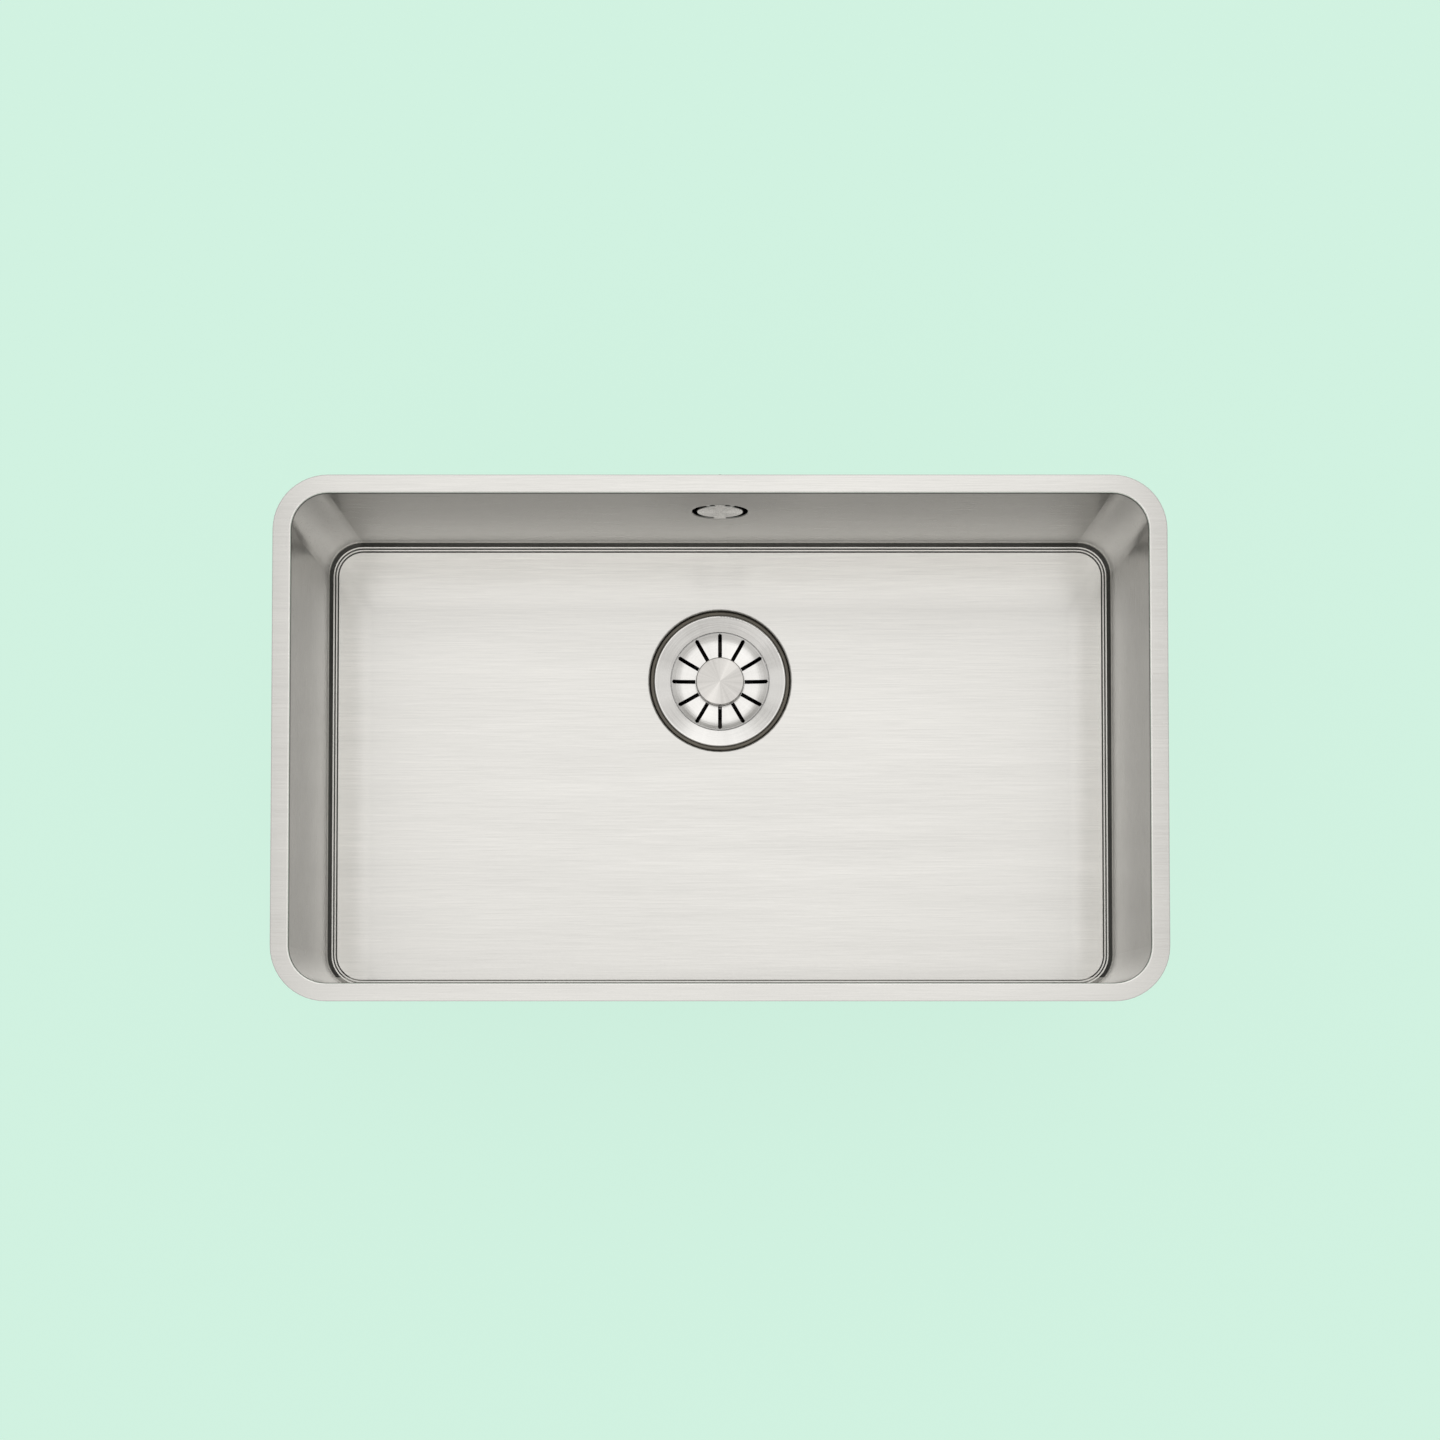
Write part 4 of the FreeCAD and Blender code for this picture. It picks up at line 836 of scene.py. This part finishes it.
# Nitrile is pressed in a smooth tool and stays matt black.
SEAL = Rubber("nitrile_seal_moulded", "#1C1C1D", 0.6, pebble=0.8 * MM, depth=0.03 * MM)
# The bead round the waste is greyed and shined by water.
BEAD = Rubber("nitrile_bead_washed", "#5F5A50", 0.42, pebble=0.8 * MM, depth=0.02 * MM)


def turned_steel(name: str, centre: Vector, axis: Axis = Axis.UPRIGHT) -> TurnedMetal:
    """Bar stock turned to a fine even finish, for the pieces that nobody polishes."""
    return TurnedMetal(name, "#BDBBB8", 0.25, centre, axis, ring_pitch=0.5 * MM)


def turned_brass(name: str, centre: Vector, axis: Axis = Axis.UPRIGHT) -> TurnedMetal:
    """Free-cutting brass, warm and bright straight from the lathe."""
    return TurnedMetal(name, "#C9A15A", 0.3, centre, axis)


# ---------------------------------------------------------------- threads
@dataclass(frozen=True)
class Thread:
    """A thread's ridge, wound round a spigot by Geometry Nodes."""

    name: str
    body: Body
    slot: str
    radius: float                    # of the smooth spigot that carries it
    pitch: float
    length: float
    ridge: float                     # height above the spigot
    start: Vector                    # on the axis, where the first turn begins
    heading: Vector                  # way that the thread runs
    steps: int = 40                  # sides of one turn
    flank: float = 0.42              # half the ridge's foot, as a share of the pitch
    run_out: float = 0.5             # turns over which each end fades into the spigot
    blunt_end: float = 0.02          # share of the ridge's size left at its ends

    def build(self, finish: Finish) -> None:
        """Winds the ridge and hangs it on its body.

        Args:
            finish: What the spigot is made of.
        """
        piece = bpy.data.objects.new(self.name, bpy.data.meshes.new(self.name))
        bpy.context.scene.collection.objects.link(piece)
        winding = piece.modifiers.new("winding", "NODES")
        winding.node_group, sockets = self.tree()
        turns = self.length / self.pitch - 1.0
        sizes = {"Radius": self.radius, "Pitch": self.pitch, "Turns": turns, "Ridge": self.ridge,
                 "Sides": self.steps, "Finish": finish.material()}
        for label, value in sizes.items():
            winding[sockets[label]] = value
        depsgraph = bpy.context.evaluated_depsgraph_get()
        wound = bpy.data.meshes.new_from_object(piece.evaluated_get(depsgraph))
        piece.modifiers.remove(winding)
        piece.data = wound
        turn = Vector((0.0, 0.0, 1.0)).rotation_difference(self.heading).to_matrix().to_4x4()
        wound.transform(Matrix.Translation(self.start + self.heading * (self.pitch / 2)) @ turn)
        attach(piece, self.body.value)
        LOG.info("%s: %.1f turns, %d faces", self.name, turns, len(wound.polygons))

    def tree(self) -> tuple[Tree, dict[str, str]]:
        """Builds the node tree that sweeps a sharp ridge along a helix.

        Returns:
            The tree, and the identifier of each named input.
        """
        tree = bpy.data.node_groups.new("thread_winding", "GeometryNodeTree")
        kinds = {"Radius": "NodeSocketFloat", "Pitch": "NodeSocketFloat", "Turns": "NodeSocketFloat",
                 "Ridge": "NodeSocketFloat", "Sides": "NodeSocketInt", "Finish": "NodeSocketMaterial"}
        sockets = {label: tree.interface.new_socket(label, in_out="INPUT", socket_type=kind).identifier
                   for label, kind in kinds.items()}
        tree.interface.new_socket("Geometry", in_out="OUTPUT", socket_type="NodeSocketGeometry")
        size = add(tree, "NodeGroupInput").outputs
        height = calc(tree, "MULTIPLY", size["Pitch"], size["Turns"])
        spiral = {"Resolution": size["Sides"], "Rotations": size["Turns"], "Start Radius": size["Radius"],
                  "End Radius": size["Radius"], "Height": height}
        helix = add(tree, "GeometryNodeCurveSpiral", spiral).outputs[0]
        level = add(tree, "GeometryNodeSetCurveNormal", {"Curve": helix}, mode="Z_UP").outputs[0]
        along = add(tree, "GeometryNodeSplineParameter").outputs["Factor"]
        nearer = calc(tree, "MINIMUM", along, calc(tree, "SUBTRACT", 1.0, along))
        to_end = calc(tree, "MULTIPLY", nearer, size["Turns"])
        taper = calc(tree, "MULTIPLY_ADD", to_end, 1 / self.run_out, self.blunt_end, clamp=True)
        path = add(tree, "GeometryNodeSetCurveRadius", {"Curve": level, "Radius": taper}).outputs[0]
        flank = calc(tree, "MULTIPLY", size["Pitch"], self.flank)
        shape = add(tree, "ShaderNodeCombineXYZ", {"X": size["Ridge"], "Y": flank, "Z": 1.0}).outputs[0]
        diamond = add(tree, "GeometryNodeCurvePrimitiveCircle", {"Resolution": 4, "Radius": 1.0},
                      mode="RADIUS").outputs[0]
        profile = add(tree, "GeometryNodeTransform", {"Geometry": diamond, "Scale": shape}).outputs[0]
        swept = add(tree, "GeometryNodeCurveToMesh", {"Curve": path, "Profile Curve": profile,
                                                      "Fill Caps": True}).outputs[0]
        faceted = add(tree, "GeometryNodeSetShadeSmooth", {"Geometry": swept, "Shade Smooth": False})
        real = add(tree, "GeometryNodeRealizeInstances", {"Geometry": faceted.outputs[0]}).outputs[0]
        dressed = add(tree, "GeometryNodeSetMaterial", {"Geometry": real, "Material": size["Finish"]})
        add(tree, "NodeGroupOutput", {"Geometry": dressed.outputs[0]})
        return tree, sockets


# ---------------------------------------------------------------- sub-assemblies
@dataclass
class Bowl:
    """Pressed bowl and the pads bonded to its outside."""

    steel: BrushedSheet = BrushedSheet("stainless_sheet_satin_brushed", "#BDBCB9", 0.23)
    pads: Rubber = Rubber("butyl_pad_pressed", "#3B3C3E", 0.72)

    def build(self) -> None:
        """Brushes the bowl and gives the pads their rubber."""
        dress(self.steel, "bowl")
        dress(self.pads, "floor_pad_front", "floor_pad_left", "floor_pad_right", "front_wall_pad",
              "rear_wall_pads", "left_wall_pad", "right_wall_pad")


@dataclass
class Waste:
    """Waste flange and cup, body, seals and the hollow screw that clamps them."""

    tail_radius: float = 23.9 * MM
    tail_pitch: float = 2.309 * MM   # eleven turns to the inch
    tail_thread: float = 20 * MM
    tail_ridge: float = 0.45 * MM

    def build(self) -> None:
        """Gives each piece of the waste its finish and cuts the outlet's thread."""
        centre = axis_of("waste_flange")
        dress(SpunCup("stainless_spun_satin", "#CDCCCA", 0.22, centre, hollow=4.0, lean=2.0), "waste_flange")
        dress(turned_steel("stainless_waste_screw_turned", centre), "waste_screw")
        dress(PALE_PLASTIC, "waste_body", "screw_bridge")
        dress(turned_brass("brass_screw_insert_turned", centre), "screw_insert")
        dress(BEAD, "flange_seal")
        dress(SEAL, "waste_gasket")
        foot = Vector((centre.x, centre.y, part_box("waste_body")[0].z))
        thread = Thread("outlet_thread", Body.SINK, "pale_plastic", self.tail_radius, self.tail_pitch,
                        self.tail_thread, self.tail_ridge, foot, Vector((0, 0, 1)))
        thread.build(PALE_PLASTIC)


@dataclass
class Strainer:
    """Lift-out dish with its bush, and the knob, stem and stopper that slide in it."""

    bush_radius: float = 6.36 * MM
    bush_pitch: float = 1.0 * MM
    bush_thread: float = 8.0 * MM
    bush_ridge: float = 0.16 * MM

    def build(self) -> None:
        """Gives the dish and the plunger their finishes and cuts the bush's thread."""
        centre = axis_of("strainer_dish")
        steel = turned_steel("stainless_stem_turned", centre)
        dress(PunchedDish("stainless_dish_spun", "#C9C8C6", 0.24, centre), "strainer_dish")
        dress(TurnedMetal("stainless_knob_faced", "#B5B3B0", 0.3, centre, ring_pitch=0.7 * MM,
                          painted_ray_strength=0.24), "knob")
        dress(steel, "guide_bush", "bush_nut", "knob_stem", "stem_catch", "stopper_plate")
        dress(SEAL, "stopper_seal")
        foot = Vector((centre.x, centre.y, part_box("guide_bush")[0].z))
        thread = Thread("bush_thread", Body.STRAINER, "plain_steel", self.bush_radius, self.bush_pitch,
                        self.bush_thread, self.bush_ridge, foot, Vector((0, 0, 1)), steps=24)
        thread.build(steel)


@dataclass
class Overflow:
    """Cover in the rear wall, its insert, and the housing behind."""

    def build(self) -> None:
        """Gives the overflow its finishes."""
        centre = axis_of("overflow_cover")
        through = Axis.THROUGH_WALL
        dress(TurnedMetal("stainless_disc_spun", "#B4B3B1", 0.27, centre, through,
                          painted_ray_line=-90.0, painted_ray_strength=0.3), "overflow_cover")
        dress(BLACK_PLASTIC, "cover_clip", "overflow_insert")
        dress(turned_steel("stainless_overflow_screw_turned", centre, through), "overflow_screw")
        dress(SEAL, "overflow_gasket")
        dress(PALE_PLASTIC, "overflow_housing")
        dress(turned_brass("brass_overflow_insert_turned", centre, through), "housing_insert")


@dataclass
class Pipe:
    """Overflow pipe with a union at each end."""

    spigot_radius: float = 14 * MM
    spigot_pitch: float = 2.0 * MM
    spigot_thread: float = 10 * MM   # bare stretch between a moulding and its nut
    spigot_ridge: float = 0.4 * MM

    def build(self) -> None:
        """Gives the pipe, nuts and seals their finishes and cuts the spigots' threads."""
        dress(PALE_PLASTIC, "overflow_pipe")
        dress(NUT_PLASTIC, "lower_union_nut", "upper_union_nut")
        dress(SEAL, "lower_cone_seal", "upper_cone_seal")
        upper, lower = axis_of("upper_union_nut"), axis_of("lower_union_nut")
        upper_back = Vector((upper.x, upper.y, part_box("upper_union_nut")[1].z))
        lower_back = Vector((lower.x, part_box("lower_union_nut")[0].y, lower.z))
        for name, back, heading in (("upper_spigot_thread", upper_back, Vector((0, 0, 1))),
                                    ("lower_spigot_thread", lower_back, Vector((0, -1, 0)))):
            thread = Thread(name, Body.SINK, "pale_plastic", self.spigot_radius, self.spigot_pitch,
                            self.spigot_thread, self.spigot_ridge, back, heading, steps=32)
            thread.build(PALE_PLASTIC)


# ---------------------------------------------------------------- studio
@dataclass(frozen=True)
class SoftBox:
    """A flat lamp that hangs over the sink and faces down."""

    name: str
    size: tuple[float, float]
    place: tuple[float, float, float]
    glow: float                       # its light beside the dome's, where 1 is white

    def hang(self) -> None:
        """Makes the lamp."""
        lamp = bpy.data.lights.new(self.name, "AREA")
        lamp.shape = "RECTANGLE"
        lamp.size, lamp.size_y = self.size
        lamp.energy = self.glow * math.pi * lamp.size * lamp.size_y
        holder = bpy.data.objects.new(self.name, lamp)
        holder.location = self.place
        holder.visible_camera = False
        bpy.context.scene.collection.objects.link(holder)


@dataclass
class Studio:
    """Pale floor, soft lamps and the camera that the sink was photographed with."""

    ground: str = "#D2F3E2"
    floor_reach: float = 30.0
    floor_sides: int = 96
    floor_glow: float = 0.92          # share of the floor's plain colour that ignores the shadow
    camera_height: float = 1.7725     # above the flange
    camera_front: float = 0.2546      # in front of the sink's middle
    camera_tilt: float = 1.856        # degrees from straight down, towards the rear wall
    lens: float = 54.72               # millimetres, as is the sensor
    sensor: float = 36.0
    shift: float = 0.18               # holds the rear wall in view while the rim stays square
    dome: str = "#FFFDFA"
    zenith: float = 0.85
    horizon: float = 0.55
    ground_haze: tuple[float, float] = (0.1, 0.3)     # sines of the heights where the ground fades out
    boxes: tuple[SoftBox, ...] = (SoftBox("soft_box", (1.84, 3.8), (0.0, 1.35, 2.6), 0.8),
                                  SoftBox("left_fill", (0.7, 1.2), (-1.65, 0.6, 2.6), 0.45),
                                  SoftBox("right_fill", (0.7, 1.2), (1.65, 0.6, 2.6), 0.45))

    def build(self) -> None:
        """Makes the floor, the world, the lamps and the camera."""
        self.make_floor()
        self.make_world()
        for box in self.boxes:
            box.hang()
        self.make_camera()
        LOG.info("studio ready")

    def shown_directly(self, tree: Tree) -> Link:
        """Tells what looks straight at the ground from the light that it scatters.

        Args:
            tree: The floor material's tree.

        Returns:
            One where the camera, a reflection or a clear piece looks at the ground.
        """
        path = add(tree, "ShaderNodeLightPath").outputs
        seen = calc(tree, "MAXIMUM", path["Is Camera Ray"], path["Is Glossy Ray"])
        return calc(tree, "MAXIMUM", seen, path["Is Transmission Ray"])

    def make_floor(self) -> None:
        """Lays a round floor just under the waste's tail."""
        mesh = bpy.data.meshes.new("floor")
        turns = [math.tau * i / self.floor_sides for i in range(self.floor_sides)]
        rim = [(self.floor_reach * math.cos(turn), self.floor_reach * math.sin(turn), CAD_BOX[0].z)
               for turn in turns]
        mesh.from_pydata(rim, [], [list(range(self.floor_sides))])
        floor = bpy.data.objects.new("floor", mesh)
        bpy.context.scene.collection.objects.link(floor)
        material, tree = blank_material("studio_floor_painted")
        plain = add(tree, "ShaderNodeBsdfDiffuse", {"Color": linear(self.ground)}).outputs[0]
        glow = add(tree, "ShaderNodeEmission", {"Color": linear(self.ground)}).outputs[0]
        share = calc(tree, "MULTIPLY", self.shown_directly(tree), self.floor_glow)
        mixed = add(tree, "ShaderNodeMixShader", {0: share, 1: plain, 2: glow}).outputs[0]
        add(tree, "ShaderNodeOutputMaterial", {"Surface": mixed})
        mesh.materials.append(material)

    def make_world(self) -> None:
        """Lights the sink from a dome that is brighter overhead, and shows the ground's colour behind it."""
        world = bpy.data.worlds.new("studio")
        bpy.context.scene.world = world
        world.use_nodes = True
        tree = world.node_tree
        tree.nodes.clear()
        height = split(tree, add(tree, "ShaderNodeTexCoord").outputs["Generated"])["Z"]
        strength = ramp(tree, height, 0.0, 1.0, self.horizon, self.zenith)
        sky = {"Color": linear(self.dome), "Strength": strength}
        dome = add(tree, "ShaderNodeBackground", sky).outputs[0]
        ground = add(tree, "ShaderNodeBackground", {"Color": linear(self.ground)}).outputs[0]
        path = add(tree, "ShaderNodeLightPath").outputs
        low = ramp(tree, height, *self.ground_haze, 1.0, 0.0)
        mirrored = calc(tree, "MULTIPLY", path["Is Glossy Ray"], low)
        seen = calc(tree, "MAXIMUM", path["Is Camera Ray"], mirrored)
        seen = calc(tree, "MAXIMUM", seen, path["Is Transmission Ray"])
        mixed = add(tree, "ShaderNodeMixShader", {0: seen, 1: dome, 2: ground}).outputs[0]
        add(tree, "ShaderNodeOutputWorld", {"Surface": mixed})

    def make_camera(self) -> None:
        """Hangs the camera above the front edge, looking almost straight down."""
        lens = bpy.data.cameras.new("camera")
        lens.lens = self.lens
        lens.sensor_width = self.sensor
        lens.shift_y = self.shift
        camera = bpy.data.objects.new("camera", lens)
        camera.location = (0, -self.camera_front, self.camera_height)
        camera.rotation_euler = (math.radians(self.camera_tilt), 0, 0)
        bpy.context.scene.collection.objects.link(camera)
        bpy.context.scene.camera = camera
        bpy.context.scene.view_settings.view_transform = "Standard"


def main() -> None:
    """Dresses the sink piece by piece, then sets up the studio."""
    logging.basicConfig(level=logging.INFO, format="%(message)s")
    for assembly in (Bowl(), Waste(), Strainer(), Overflow(), Pipe()):
        assembly.build()
    Studio().build()


if __name__ == "__main__":
    main()
